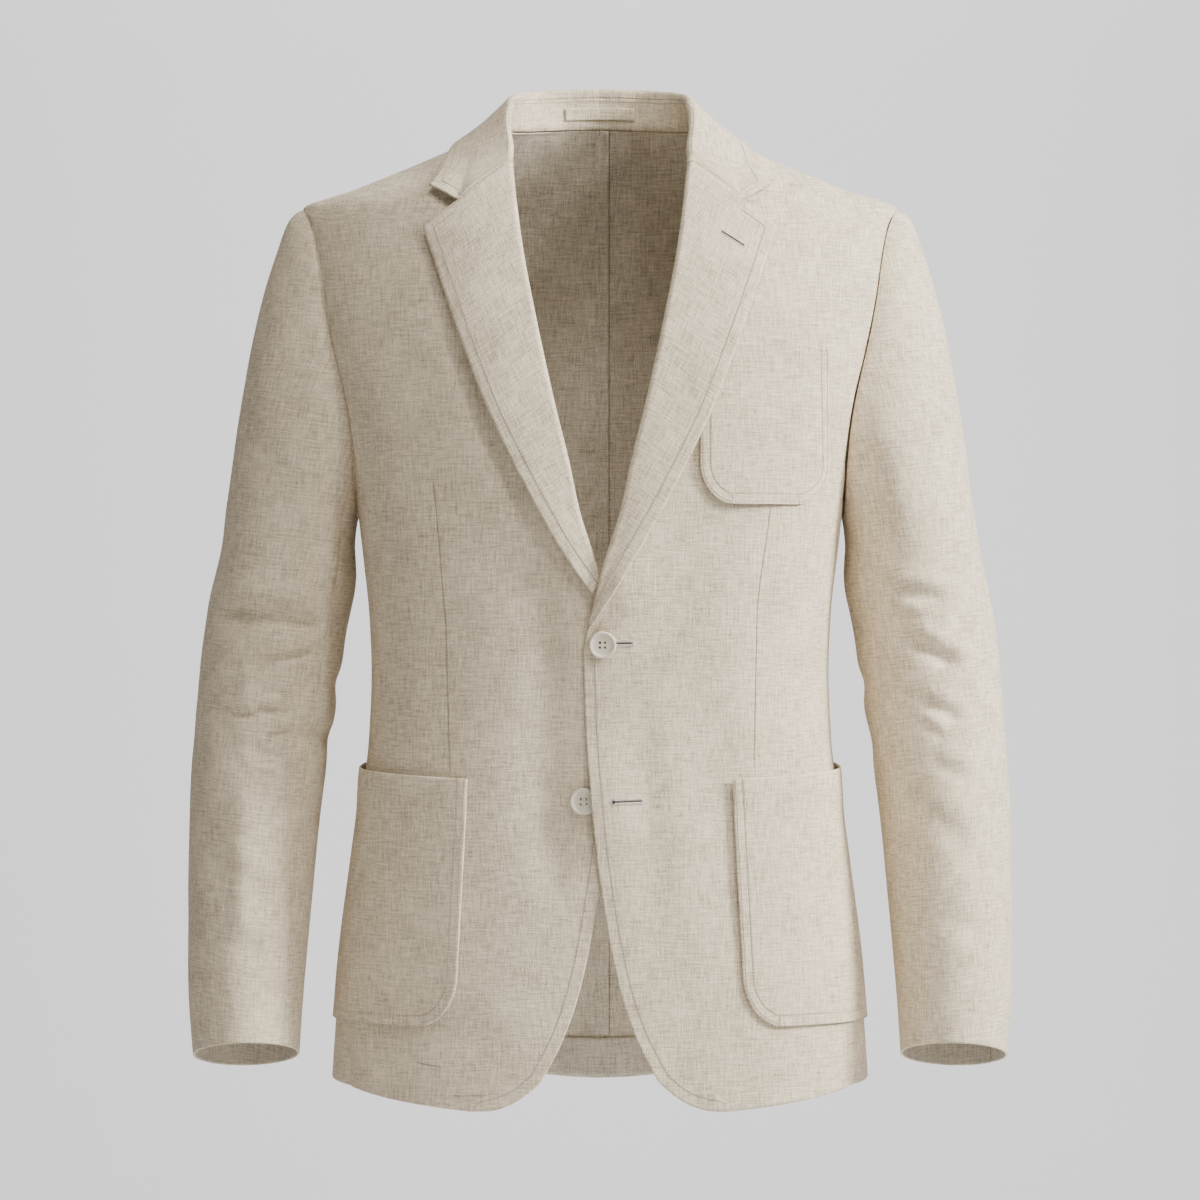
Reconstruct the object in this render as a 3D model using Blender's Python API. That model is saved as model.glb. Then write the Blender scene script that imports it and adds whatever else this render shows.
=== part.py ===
"""Single-breasted two-button linen blazer, worn shape with no wearer.

Metres, +Z up.  X runs to the wearer's left, -Y is the wearer's front.
The origin lies between the neck points, where the shoulder seams meet the
collar.  Every cloth piece is a thin closed wall, cut along its real seams.
"""

import math

import bpy
import numpy as np
from mathutils import Vector

# ---------------------------------------------------------------- sizes ----
CLOTH = 0.0016            # wall of one cloth piece
FOLDED_CLOTH = 0.0022     # wall of lapels and collar, cloth and facing together
SEAM_GAP = 0.0003         # left between neighbouring pieces

HEM = -0.745              # hem at the centre
HEM_RISE = 0.016          # the hem is this much higher at the sides
NECK_POINT = -0.002       # top of the shoulder seam
SHOULDER_TIP = -0.064     # where the shoulder seam meets the sleeve
BACK_NECK = 0.004         # centre back neck seam

ARMHOLE_LOW = -0.302      # underarm
SIDE_TOP = -0.284         # where the seams of the side panel meet the armhole
ARMHOLE_FRONT = 0.065     # reach of the armhole before and behind the shoulder seam
ARMHOLE_BACK = 0.074

BREAK = -0.371            # where the lapel leaves the front edge
LAPEL_FOOT = -0.383       # where its folded edge has run out on the front edge
GORGE = -0.0375           # where the lapel meets the collar on the roll line
STAND_INSET = 0.0025      # middle of the stand inside the neck seam
ROLL_RADIUS = 0.0026      # of the fold along the roll line
LEAF_EDGE_LIFT = 0.0050   # middle of the lapel above the front, at its edge
LEAF_FOOT_LIFT = 0.0020   # the same at the lapel's foot
LEAF_SWELL = 0.0012       # the leaf bows out this much between fold and edge
FOOT_SHARE = 0.22         # of the lapel's length, over which its fold grows
FOOT_RADIUS = 0.50        # from this share of the roll's radius
FOOT_CLEAR = 0.0014       # between the front's edge and the lapel's foot
RIGHT_LAPEL_START = 0.083 # share of the right lapel hidden under the left front
RIGHT_EDGE_IN = 0.0045    # the right lapel is this much narrower at its foot
COLLAR_EDGE_LIFT = 0.0030 # middle of the collar's edge above the body
COLLAR_SWELL = 0.0005
COLLAR_LEAN = 75          # degrees, at most, that the fall leans away from the stand
FOLD_LEAVES_GORGE = 30    # degrees round the neck over which the collar's fold
EDGE_LEAVES_GORGE = 22    # and its edge turn from the lapel's to their own lines
OVERLAP = 0.0030          # left front over right front
OVERLAP_EDGE = 0.012      # across: where this starts to fade, and over how much
OVERLAP_FADE = 0.055
BREAK_RISE = 0.0032       # more at the break, round this height
BREAK_RISE_HEIGHT = -0.355
BREAK_RISE_REACH = 0.024
BUTTON_RISE = 0.0042      # and over the lower button
BUTTON_RISE_REACH = 0.034
BUTTON_RISE_FADE = 0.040

BUTTON_RADIUS = 0.01025
BUTTON_THICK = 0.0032
BUTTON_HEIGHTS = (-0.398, -0.515)
BUTTON_X = (0.0018, -0.0123)
BUTTON_HOLE = 0.0010      # radius of a hole, and how far it is from the centre
BUTTON_HOLE_OUT = 0.0026
BUTTON_DISH = 0.66        # height of the dished middle, as a share of the thickness
BUTTON_SIDES = 20

# Outline of a button from its back to its dished face: share of its radius,
# share of its thickness.
BUTTON_PROFILE = (
    (0.70, 0.0),
    (0.95, 0.10),
    (1.00, 0.45),
    (0.97, 0.85),
    (0.88, 1.00),
    (0.76, 0.98),
    (0.68, 0.72),
)

FRONT_COLUMNS = 12        # across a front
BACK_COLUMNS = 8
SIDE_COLUMNS = 6
ROWS_BELOW_ARM = 14       # up to the armhole, along the armhole, on the shoulder
ROWS_AT_ARM = 7
ROWS_ON_SHOULDER = 8
LAPEL_ROWS = 16
COLLAR_ROWS = 15          # from the gorge to the centre back
FOLD_STEPS = 4            # round the fold, and from the fold to the edge
LEAF_STEPS = 5
TOP_SLEEVE_COLUMNS = 12
UNDER_SLEEVE_COLUMNS = 9

# Body sections: height, half width, depth to the front, depth to the back,
# squareness of the outline (2 is an ellipse).
BODY = (
    (-0.760, 0.2075, 0.132, 0.120, 2.8),
    (-0.710, 0.2045, 0.132, 0.122, 2.8),
    (-0.640, 0.1990, 0.131, 0.125, 2.8),
    (-0.565, 0.1895, 0.129, 0.119, 2.8),
    (-0.520, 0.1835, 0.128, 0.110, 2.8),
    (-0.470, 0.1775, 0.128, 0.100, 2.8),
    (-0.420, 0.1755, 0.130, 0.096, 2.8),
    (-0.380, 0.1770, 0.133, 0.098, 2.8),
    (-0.335, 0.1815, 0.136, 0.104, 2.8),
    (-0.287, 0.1876, 0.138, 0.111, 2.8),
    (-0.230, 0.2000, 0.138, 0.119, 2.7),
    (-0.166, 0.2175, 0.132, 0.122, 2.5),
    (-0.130, 0.2244, 0.124, 0.118, 2.3),
    (-0.094, 0.2280, 0.114, 0.110, 2.0),
    (-0.064, 0.2290, 0.101, 0.099, 1.8),
    (-0.050, 0.1915, 0.091, 0.093, 1.8),
    (-0.035, 0.1540, 0.079, 0.086, 1.8),
    (-0.018, 0.1140, 0.064, 0.078, 1.9),
    (0.000, 0.0735, 0.040, 0.069, 2.0),
    (0.012, 0.0600, 0.030, 0.063, 2.0),
)

# Front edge below the lapel: height, distance past the centre (minus: past it
# to the other side).
FRONT_EDGE = (
    (-0.723, 0.0440),
    (-0.690, 0.0272),
    (-0.659, 0.0165),
    (-0.625, 0.0087),
    (-0.579, 0.0012),
    (-0.552, -0.0024),
    (-0.515, -0.0060),
    (-0.468, -0.0097),
    (-0.424, -0.0114),
    (-0.400, -0.0118),
    (-0.385, -0.0085),
    (-0.371, -0.0042),
)

# The rounded foot of each front, from the front edge to the hem:
# share of the way to the side, distance from the centre, height.
FRONT_FOOT = (
    (0.00, 0.0440, -0.7230),
    (0.08, 0.0560, -0.7335),
    (0.17, 0.0700, -0.7415),
    (0.27, 0.0860, -0.7458),
)

# Roll line of the lapel: height, distance from the centre.
ROLL_LINE = (
    (-0.371, -0.0042),
    (-0.350, 0.0020),
    (-0.333, 0.0080),
    (-0.303, 0.0185),
    (-0.262, 0.0275),
    (-0.216, 0.0388),
    (-0.150, 0.0530),
    (-0.106, 0.0613),
    (-0.069, 0.0665),
    (-0.0375, 0.0700),
    (-0.018, 0.0722),
    (-0.002, 0.0735),
)

# Outer edge of the lapel: height, distance from the centre.
LAPEL_EDGE = (
    (-0.384, -0.0062),
    (-0.378, -0.0022),
    (-0.366, 0.0052),
    (-0.343, 0.0190),
    (-0.296, 0.0458),
    (-0.243, 0.0725),
    (-0.216, 0.0846),
    (-0.174, 0.1005),
    (-0.140, 0.1127),
    (-0.110, 0.1228),
    (-0.086, 0.1310),
)
NOTCH = (0.1050, -0.0668)          # distance from the centre, height
COLLAR_POINT = (0.1275, -0.0558)

# Seam between front and side panel, and between side panel and back:
# height, angle from the front in degrees.
SIDE_FRONT_SEAM = ((-0.75, 68.0), (-0.60, 69.0), (-0.42, 69.5), (-0.35, 71.0))
SIDE_BACK_SEAM = ((-0.75, 112.0), (-0.42, 112.0), (-0.34, 110.0))

# Fold of the collar round the neck: angle from the front in degrees, distance
# out from the centre line, distance forward, height.
COLLAR_FOLD = (
    (42, 0.0670, 0.0745, -0.0375),
    (52, 0.0680, 0.0660, -0.0270),
    (65, 0.0690, 0.0510, -0.0100),
    (78, 0.0685, 0.0330, 0.0060),
    (90, 0.0660, 0.0080, 0.0180),
    (112, 0.0625, -0.0270, 0.0265),
    (132, 0.0530, -0.0470, 0.0310),
    (152, 0.0320, -0.0590, 0.0335),
    (180, 0.0000, -0.0630, 0.0345),
)

# Outer edge of the collar on the shoulders and back: the same angles in
# degrees, then angle on the body and height.
COLLAR_EDGE = (
    (42, 59.5, -0.0558),
    (58, 67.5, -0.0360),
    (75, 82.0, -0.0185),
    (90, 96.0, -0.0145),
    (112, 116.0, -0.0130),
    (132, 138.0, -0.0115),
    (152, 158.0, -0.0105),
    (180, 180.0, -0.0100),
)

# Sleeve sections from armhole to cuff: outer side x and z, inner side x and z,
# furthest forward, furthest back, how much higher the front is than the back.
SLEEVE = (
    (0.2290, -0.0640, 0.1876, -0.3020, -0.070, 0.072, 0.000),
    (0.2395, -0.0740, 0.1890, -0.3090, -0.072, 0.074, 0.000),
    (0.2490, -0.0990, 0.1895, -0.3170, -0.073, 0.075, 0.000),
    (0.2590, -0.1300, 0.1895, -0.3260, -0.072, 0.075, 0.000),
    (0.2685, -0.1700, 0.1885, -0.3360, -0.070, 0.074, 0.000),
    (0.2760, -0.2120, 0.1880, -0.3470, -0.068, 0.072, 0.000),
    (0.2825, -0.2550, 0.1893, -0.3600, -0.066, 0.070, 0.000),
    (0.2880, -0.2950, 0.1925, -0.3750, -0.065, 0.068, 0.000),
    (0.2945, -0.3350, 0.1960, -0.3930, -0.064, 0.066, 0.000),
    (0.3020, -0.3700, 0.1985, -0.4130, -0.064, 0.064, 0.000),
    (0.3065, -0.4030, 0.2010, -0.4350, -0.065, 0.061, 0.000),
    (0.3095, -0.4370, 0.2050, -0.4580, -0.067, 0.058, 0.000),
    (0.3125, -0.4720, 0.2090, -0.4850, -0.070, 0.053, 0.002),
    (0.3143, -0.5080, 0.2130, -0.5150, -0.074, 0.047, 0.005),
    (0.3148, -0.5450, 0.2165, -0.5480, -0.079, 0.040, 0.008),
    (0.3150, -0.5830, 0.2195, -0.5840, -0.085, 0.032, 0.012),
    (0.3144, -0.6230, 0.2228, -0.6230, -0.091, 0.023, 0.016),
    (0.3133, -0.6670, 0.2260, -0.6650, -0.098, 0.013, 0.021),
    (0.3092, -0.7115, 0.2285, -0.7085, -0.105, 0.001, 0.027),
)
SLEEVE_BLEND = 5          # sections over which the armhole turns into a round sleeve
FRONT_SEAM_ANGLE = 140    # degrees from the outer side, towards the front
BACK_SEAM_ANGLES = (262, 325)   # at the armhole and at the cuff
SLEEVE_RADIUS = 0.055           # about, to turn a seam's gap into an angle

# Largest folds of the sleeves: section number, angle from the outer side
# towards the front, reach along, reach round, lean, depth.
LEFT_FOLDS = (
    (9.0, 60, 0.45, 60, 0.010, 0.0045),
    (10.6, 30, 0.40, 55, -0.012, 0.0050),
    (12.0, 95, 0.45, 50, 0.010, 0.0035),
    (13.6, 40, 0.50, 45, 0.008, 0.0025),
    (9.8, 200, 0.50, 45, 0.000, 0.0040),
    (11.6, 215, 0.50, 40, 0.000, 0.0035),
)
RIGHT_FOLDS = (
    (8.8, 50, 0.50, 65, 0.006, 0.0050),
    (10.1, 80, 0.35, 60, -0.006, 0.0045),
    (11.6, 60, 0.40, 50, 0.010, 0.0030),
    (13.0, 70, 0.40, 55, -0.010, 0.0030),
    (14.6, 60, 0.50, 45, 0.012, 0.0025),
    (9.8, 200, 0.50, 45, 0.000, 0.0040),
    (11.6, 215, 0.50, 40, 0.000, 0.0035),
)

# Hip pocket: its corners on the body.
POCKET_TOP = (-0.4990, -0.4915)    # height of the mouth at its front and side
POCKET_FOOT = -0.6835
POCKET_FRONT = (0.0985, 0.1085)    # distance from the centre at mouth and foot
POCKET_SIDE = 98.0                 # degrees, just behind the side
POCKET_CORNER = (0.20, 0.16)       # of its height and width, taken by a round corner
POCKET_CLEAR = 0.0011              # between pocket and front
POCKET_PROUD = 0.0030              # the mouth stands off this much more
POCKET_COLUMNS = 8
POCKET_ROWS = 10

# Chest pocket.
CHEST_TOP = -0.174
CHEST_FOOT = -0.2935
CHEST_INNER = 0.0745
CHEST_OUTER = 0.1705
CHEST_CORNER = (0.26, 0.28)
CHEST_CLEAR = 0.0009
CHEST_COLUMNS = 6
CHEST_ROWS = 8

STRIP = 0.0010                     # wall of the strips inside
TURNUP = 0.031                     # height of the turned-up hem
TURNUP_CLEAR = 0.0012              # between turn-up and back
TURNUP_COLUMNS = 18
ALLOWANCE_EDGES = (0.0065, -0.0035)   # across the centre back
ALLOWANCE_CLEAR = 0.0009
HANGER_HALF_LENGTH = 0.029
HANGER_EDGES = (0.25, 0.58)        # shares of the height of the stand
HANGER_WALL = 0.0008
HANGER_CLEAR = 0.0006
HANGER_COLUMNS = 8
STAND_RADIUS = 0.063               # of the stand at the back of the neck

LINEN = (0.62, 0.56, 0.48, 1.0)
LINEN_INSIDE = (0.45, 0.39, 0.32, 1.0)
HORN = (0.83, 0.80, 0.74, 1.0)


# ------------------------------------------------------------ small maths ----
def smooth_curve(pairs):
    """A smooth function through rows of (key, value), monotone between rows."""
    keys = np.array([pair[0] for pair in pairs], float)
    values = np.array([pair[1] for pair in pairs], float)
    slopes = np.diff(values) / np.diff(keys)
    tangents = np.zeros(len(keys))
    tangents[0] = slopes[0]
    tangents[-1] = slopes[-1]
    for i in range(1, len(keys) - 1):
        before = slopes[i - 1]
        after = slopes[i]
        if before * after > 0:
            tangents[i] = 2 * before * after / (before + after)

    def value_at(key):
        key = min(max(key, keys[0]), keys[-1])
        i = min(int(np.searchsorted(keys, key, side="right")) - 1, len(keys) - 2)
        span = keys[i + 1] - keys[i]
        t = (key - keys[i]) / span
        return (
            values[i] * (2 * t**3 - 3 * t**2 + 1)
            + tangents[i] * span * (t**3 - 2 * t**2 + t)
            + values[i + 1] * (3 * t**2 - 2 * t**3)
            + tangents[i + 1] * span * (t**3 - t**2)
        )

    return value_at


def column(table, key, value):
    return smooth_curve([(row[key], row[value]) for row in table])


def mix(a, b, t):
    return a + (b - a) * t


def ease(t):
    t = min(max(t, 0.0), 1.0)
    return t * t * (3 - 2 * t)


def bump(distance, reach):
    return math.exp(-((distance / reach) ** 2))


# ------------------------------------------------------------------- body ----
half_width_at = column(BODY, 0, 1)
front_depth_at = column(BODY, 0, 2)
back_depth_at = column(BODY, 0, 3)
squareness_at = column(BODY, 0, 4)
front_edge_at = column(FRONT_EDGE, 0, 1)
roll_line_at = column(ROLL_LINE, 0, 1)
lapel_edge_at = column(LAPEL_EDGE, 0, 1)


def depth_at(angle, height):
    return front_depth_at(height) if math.cos(angle) > 0 else back_depth_at(height)


def body_point(angle, height):
    """Outer face of the body, by angle from the front towards +X, and height."""
    square = squareness_at(height)
    across = abs(math.sin(angle)) / half_width_at(height)
    along = abs(math.cos(angle)) / depth_at(angle, height)
    radius = (across**square + along**square) ** (-1 / square)
    return Vector((radius * math.sin(angle), -radius * math.cos(angle), height))


def body_normal(angle, height):
    step = 0.004
    round_way = body_point(angle + step, height) - body_point(angle - step, height)
    up_way = body_point(angle, height + step / 4) - body_point(angle, height - step / 4)
    return round_way.cross(up_way).normalized()


def angle_at_x(x, height):
    """Angle of the front point that lies x out from the centre."""
    square = squareness_at(height)
    share = min(abs(x) / half_width_at(height), 1.0)
    forward = front_depth_at(height) * (1 - share**square) ** (1 / square)
    return math.atan2(x, forward)


def angle_at_y(forward, height):
    """Angle of the side point that lies forward (minus: behind) of the middle."""
    square = squareness_at(height)
    depth = front_depth_at(height) if forward > 0 else back_depth_at(height)
    share = min(abs(forward) / depth, 1.0)
    out = half_width_at(height) * (1 - share**square) ** (1 / square)
    return math.atan2(out, forward)


def armhole(turn):
    """Angle and height on the armhole; turn runs from the tip over the front."""
    middle = (SHOULDER_TIP + ARMHOLE_LOW) / 2
    height = middle + (SHOULDER_TIP - ARMHOLE_LOW) / 2 * math.cos(turn)
    if math.sin(turn) >= 0:
        forward = ARMHOLE_FRONT * math.sin(turn) * (1 - 0.25 * math.cos(turn))
    else:
        forward = ARMHOLE_BACK * math.sin(turn) * (1 - 0.12 * math.cos(turn))
    return angle_at_y(forward, height), height


def armhole_turn(height, behind):
    """Turn of the armhole point at a height, before or behind the shoulder."""
    middle = (SHOULDER_TIP + ARMHOLE_LOW) / 2
    share = (height - middle) / ((SHOULDER_TIP - ARMHOLE_LOW) / 2)
    turn = math.acos(min(max(share, -1.0), 1.0))
    return -turn if behind else turn


def seam_to_armhole(table, behind):
    """A side panel's seam in degrees by height, ending on the armhole."""
    hole, _ = armhole(armhole_turn(SIDE_TOP, behind))
    return smooth_curve(table + ((SIDE_TOP, math.degrees(hole)),))


side_front_at = seam_to_armhole(SIDE_FRONT_SEAM, False)
side_back_at = seam_to_armhole(SIDE_BACK_SEAM, True)


def hem_height(angle):
    return HEM + HEM_RISE * math.sin(angle) ** 2


def overlap_lift(point):
    """How far the left front stands off to pass over the right one."""
    near_edge = 1 - ease((point.x - OVERLAP_EDGE) / OVERLAP_FADE)
    at_break = BREAK_RISE * bump(point.z - BREAK_RISE_HEIGHT, BREAK_RISE_REACH)
    at_button = BUTTON_RISE * bump(point.z - BUTTON_HEIGHTS[1], BUTTON_RISE_REACH)
    at_button *= 1 - ease((point.x + SEAM_GAP) / BUTTON_RISE_FADE)
    return near_edge * (OVERLAP + at_break) + at_button


def front_point(angle, height, side, lift=0.0):
    """Outer face of a front: side is 1 for the wearer's left, -1 for the right."""
    point = body_point(angle, height)
    normal = body_normal(angle, height)
    extra = overlap_lift(point) if side > 0 else 0.0
    point = point + normal * (extra + lift)
    return Vector((point.x * side, point.y, point.z)), Vector(
        (normal.x * side, normal.y, normal.z)
    )


# ------------------------------------------------------------------ meshes ----
def material(name, colour, roughness):
    made = bpy.data.materials.get(name) or bpy.data.materials.new(name)
    made.use_nodes = True
    shader = made.node_tree.nodes["Principled BSDF"]
    shader.inputs["Base Color"].default_value = colour
    shader.inputs["Roughness"].default_value = roughness
    shader.inputs["Metallic"].default_value = 0.0
    return made


def add_object(name, points, faces, finish):
    mesh = bpy.data.meshes.new(name)
    mesh.from_pydata([tuple(point) for point in points], [], faces)
    mesh.validate()
    mesh.shade_smooth()
    mesh.set_sharp_from_angle(angle=math.radians(50))
    made = bpy.data.objects.new(name, mesh)
    made.data.materials.append(finish)
    bpy.context.scene.collection.objects.link(made)
    return made


def wall(name, grid, normals, thick, finish, flip=False):
    """A closed wall: grid holds its outer face, the inner one lies thick behind.

    grid[row][column] are points; rows and columns each run along the cloth.
    """
    rows = len(grid)
    wide = len(grid[0])
    outer = [point for row in grid for point in row]
    inner = [
        point - normal * thick
        for row, row_normals in zip(grid, normals)
        for point, normal in zip(row, row_normals)
    ]
    points = outer + inner
    back = rows * wide
    faces = []
    for j in range(rows - 1):
        for i in range(wide - 1):
            a = j * wide + i
            b = a + 1
            c = b + wide
            d = a + wide
            faces.append((a, b, c, d))
            faces.append((back + d, back + c, back + b, back + a))
    for i in range(wide - 1):
        faces.append((i + 1, i, back + i, back + i + 1))
        c = (rows - 1) * wide + i
        faces.append((c, c + 1, back + c + 1, back + c))
    for j in range(rows - 1):
        a = j * wide
        b = a + wide
        faces.append((a, b, back + b, back + a))
        c = a + wide - 1
        d = c + wide
        faces.append((d, c, back + c, back + d))
    if flip:
        faces = [face[::-1] for face in faces]
    return add_object(name, points, faces, finish)


def grid_normals(grid):
    """Normals of a grid of points, from its neighbours' differences."""
    rows = len(grid)
    wide = len(grid[0])
    found = []
    for j in range(rows):
        line = []
        for i in range(wide):
            ahead = grid[j][min(i + 1, wide - 1)]
            behind = grid[j][max(i - 1, 0)]
            above = grid[min(j + 1, rows - 1)][i]
            below = grid[max(j - 1, 0)][i]
            line.append((ahead - behind).cross(above - below).normalized())
        found.append(line)
    return found


# ------------------------------------------------------------ body panels ----
def front_outline(share):
    """Front edge, roll line and neck of a front, from foot to neck point."""
    foot = FRONT_EDGE[0][0]
    height = mix(foot, NECK_POINT, share)
    out = front_edge_at(height) if height < BREAK else roll_line_at(height)
    return angle_at_x(out, height), height


def half_gap(height):
    """Half of the gap at a seam, as an angle on the body."""
    return SEAM_GAP / 2 / half_width_at(height)


def outer_heights():
    """Heights of the rows along the side seam, armhole and shoulder seam."""
    foot = hem_height(math.radians(SIDE_FRONT_SEAM[0][1]))
    heights = [mix(foot, SIDE_TOP, i / ROWS_BELOW_ARM) for i in range(ROWS_BELOW_ARM + 1)]
    first_turn = armhole_turn(SIDE_TOP, False)
    heights += [armhole(first_turn * (1 - (i + 1) / ROWS_AT_ARM))[1] for i in range(ROWS_AT_ARM)]
    heights += [
        mix(SHOULDER_TIP, NECK_POINT, (i + 1) / ROWS_ON_SHOULDER) for i in range(ROWS_ON_SHOULDER)
    ]
    return heights


def outer_outline(height, behind):
    """Angle of the shoulder seam, armhole or side seam at a height."""
    way = 1 if behind else -1
    if height >= SHOULDER_TIP:
        return math.pi / 2 + way * half_gap(height)
    if height <= SIDE_TOP:
        seam_at = side_back_at if behind else side_front_at
        return math.radians(seam_at(height)) + way * half_gap(height)
    return armhole(armhole_turn(height, behind))[0]


def shares_of(heights):
    return [(height - heights[0]) / (heights[-1] - heights[0]) for height in heights]


def front_domain():
    """Angles and heights of the grid of a front, row by row."""
    foot = smooth_curve([(row[0], row[1]) for row in FRONT_FOOT])
    foot_height = smooth_curve([(row[0], row[2]) for row in FRONT_FOOT])
    last_share = FRONT_FOOT[-1][0]
    heights = outer_heights()
    rows = []
    for share, outer_height in zip(shares_of(heights), heights):
        inner_angle, inner_height = front_outline(share)
        outer_angle = outer_outline(outer_height, False)
        row = []
        for i in range(FRONT_COLUMNS + 1):
            across = i / FRONT_COLUMNS
            angle = mix(inner_angle, outer_angle, across)
            height = mix(inner_height, outer_height, across)
            row.append([angle, height])
        rows.append(row)
    foot_angle, foot_start = front_outline(0.0)
    side_angle = outer_outline(heights[0], False)
    fade_rows = 6
    for i in range(FRONT_COLUMNS + 1):
        across = i / FRONT_COLUMNS
        if across <= last_share:
            height = foot_height(across)
            angle = angle_at_x(foot(across), height)
        else:
            start_height = FRONT_FOOT[-1][2]
            start_angle = angle_at_x(FRONT_FOOT[-1][1], start_height)
            t = (across - last_share) / (1 - last_share)
            angle = mix(start_angle, side_angle, t)
            height = mix(start_height, heights[0], t**1.5)
        shift_angle = angle - mix(foot_angle, side_angle, across)
        shift_height = height - mix(foot_start, heights[0], across)
        for j in range(fade_rows):
            keep = 1 - j / fade_rows
            rows[j][i][0] += shift_angle * keep
            rows[j][i][1] += shift_height * keep
    return rows


def make_front(side, name, finish):
    grid = []
    normals = []
    for row in front_domain():
        pairs = [front_point(angle, height, side) for angle, height in row]
        grid.append([pair[0] for pair in pairs])
        normals.append([pair[1] for pair in pairs])
    wall(name, grid, normals, CLOTH, finish, flip=side < 0)


def body_grid(side, rows):
    """Points and normals of a grid of angles and heights on the body."""
    grid = []
    normals = []
    for row in rows:
        line = []
        line_normals = []
        for angle, height in row:
            point = body_point(angle, height)
            normal = body_normal(angle, height)
            line.append(Vector((point.x * side, point.y, point.z)))
            line_normals.append(Vector((normal.x * side, normal.y, normal.z)))
        grid.append(line)
        normals.append(line_normals)
    return grid, normals


def make_side(side, name, finish):
    """Panel under the arm, up to the lower part of the armhole."""
    start = armhole_turn(SIDE_TOP, False)
    end = 2 * math.pi + armhole_turn(SIDE_TOP, True)
    heights = outer_heights()[: ROWS_BELOW_ARM + 1]
    rows = []
    for j, height in enumerate(heights):
        front_angle = math.radians(side_front_at(height)) + half_gap(height)
        back_angle = math.radians(side_back_at(height)) - half_gap(height)
        lean = ease(j / ROWS_BELOW_ARM * 3 - 2)
        row = []
        for i in range(SIDE_COLUMNS + 1):
            across = i / SIDE_COLUMNS
            angle = mix(front_angle, back_angle, across)
            hem_shift = hem_height(angle) - heights[0]
            hole_angle, hole_height = armhole(mix(start, end, across))
            if 0 < i < SIDE_COLUMNS:
                angle = mix(angle, hole_angle, lean)
            row.append((
                angle,
                height + hem_shift * (1 - j / ROWS_BELOW_ARM) + (hole_height - SIDE_TOP) * lean,
            ))
        rows.append(row)
    grid, normals = body_grid(side, rows)
    wall(name, grid, normals, CLOTH, finish, flip=side < 0)


def back_domain():
    """Angles and heights of the grid of a back half, row by row."""
    heights = outer_heights()
    rows = []
    for share, outer_height in zip(shares_of(heights), heights):
        centre_height = mix(HEM, BACK_NECK, share)
        row = []
        for i in range(BACK_COLUMNS + 1):
            across = i / BACK_COLUMNS
            height = mix(outer_height, centre_height, ease(across))
            centre = math.pi - half_gap(height)
            row.append((mix(outer_outline(outer_height, True), centre, across), height))
        rows.append(row)
    return rows


def make_back(side, name, finish):
    grid, normals = body_grid(side, back_domain())
    wall(name, grid, normals, CLOTH, finish, flip=side < 0)


# -------------------------------------------------------- lapels and collar ----
def turned(start, onward, outward, radius, steps, whole=math.pi):
    """Points of the turn, half a circle or less, where the cloth folds back."""
    found = []
    for i in range(steps + 1):
        bend = whole * i / steps
        ahead = onward * (radius * math.sin(bend))
        up = outward * (radius * (1 - math.cos(bend)))
        found.append(start + ahead + up)
    return found


def gorge_point(share, side, collar):
    """Along the lapel's top: roll line, notch, then lapel or collar point."""
    notch_share = 0.60
    start_x = roll_line_at(GORGE)
    end_x = COLLAR_POINT[0] if collar else lapel_edge_at(LAPEL_EDGE[-1][0])
    end_z = COLLAR_POINT[1] if collar else LAPEL_EDGE[-1][0]
    raised = 2 * SEAM_GAP if collar else 0.0
    if share <= notch_share:
        t = share / notch_share
        x = mix(start_x, NOTCH[0], t)
        z = mix(GORGE, NOTCH[1], t)
    else:
        t = (share - notch_share) / (1 - notch_share)
        x = mix(NOTCH[0], end_x, t)
        z = mix(NOTCH[1], end_z, t)
    return x, z + raised


def leaf_lift(share, radius, along):
    """Middle of the leaf above the front it lies on, low at the lapel's foot."""
    at_fold = 2 * radius - CLOTH / 2
    at_edge = mix(LEAF_FOOT_LIFT, LEAF_EDGE_LIFT, ease(along / 0.2))
    return mix(at_fold, at_edge, ease(share))


def fold_x_at(height):
    """Across, to the lapel's folded edge, which ends along the front edge."""
    return front_edge_at(height) if height < BREAK else roll_line_at(height)


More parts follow.
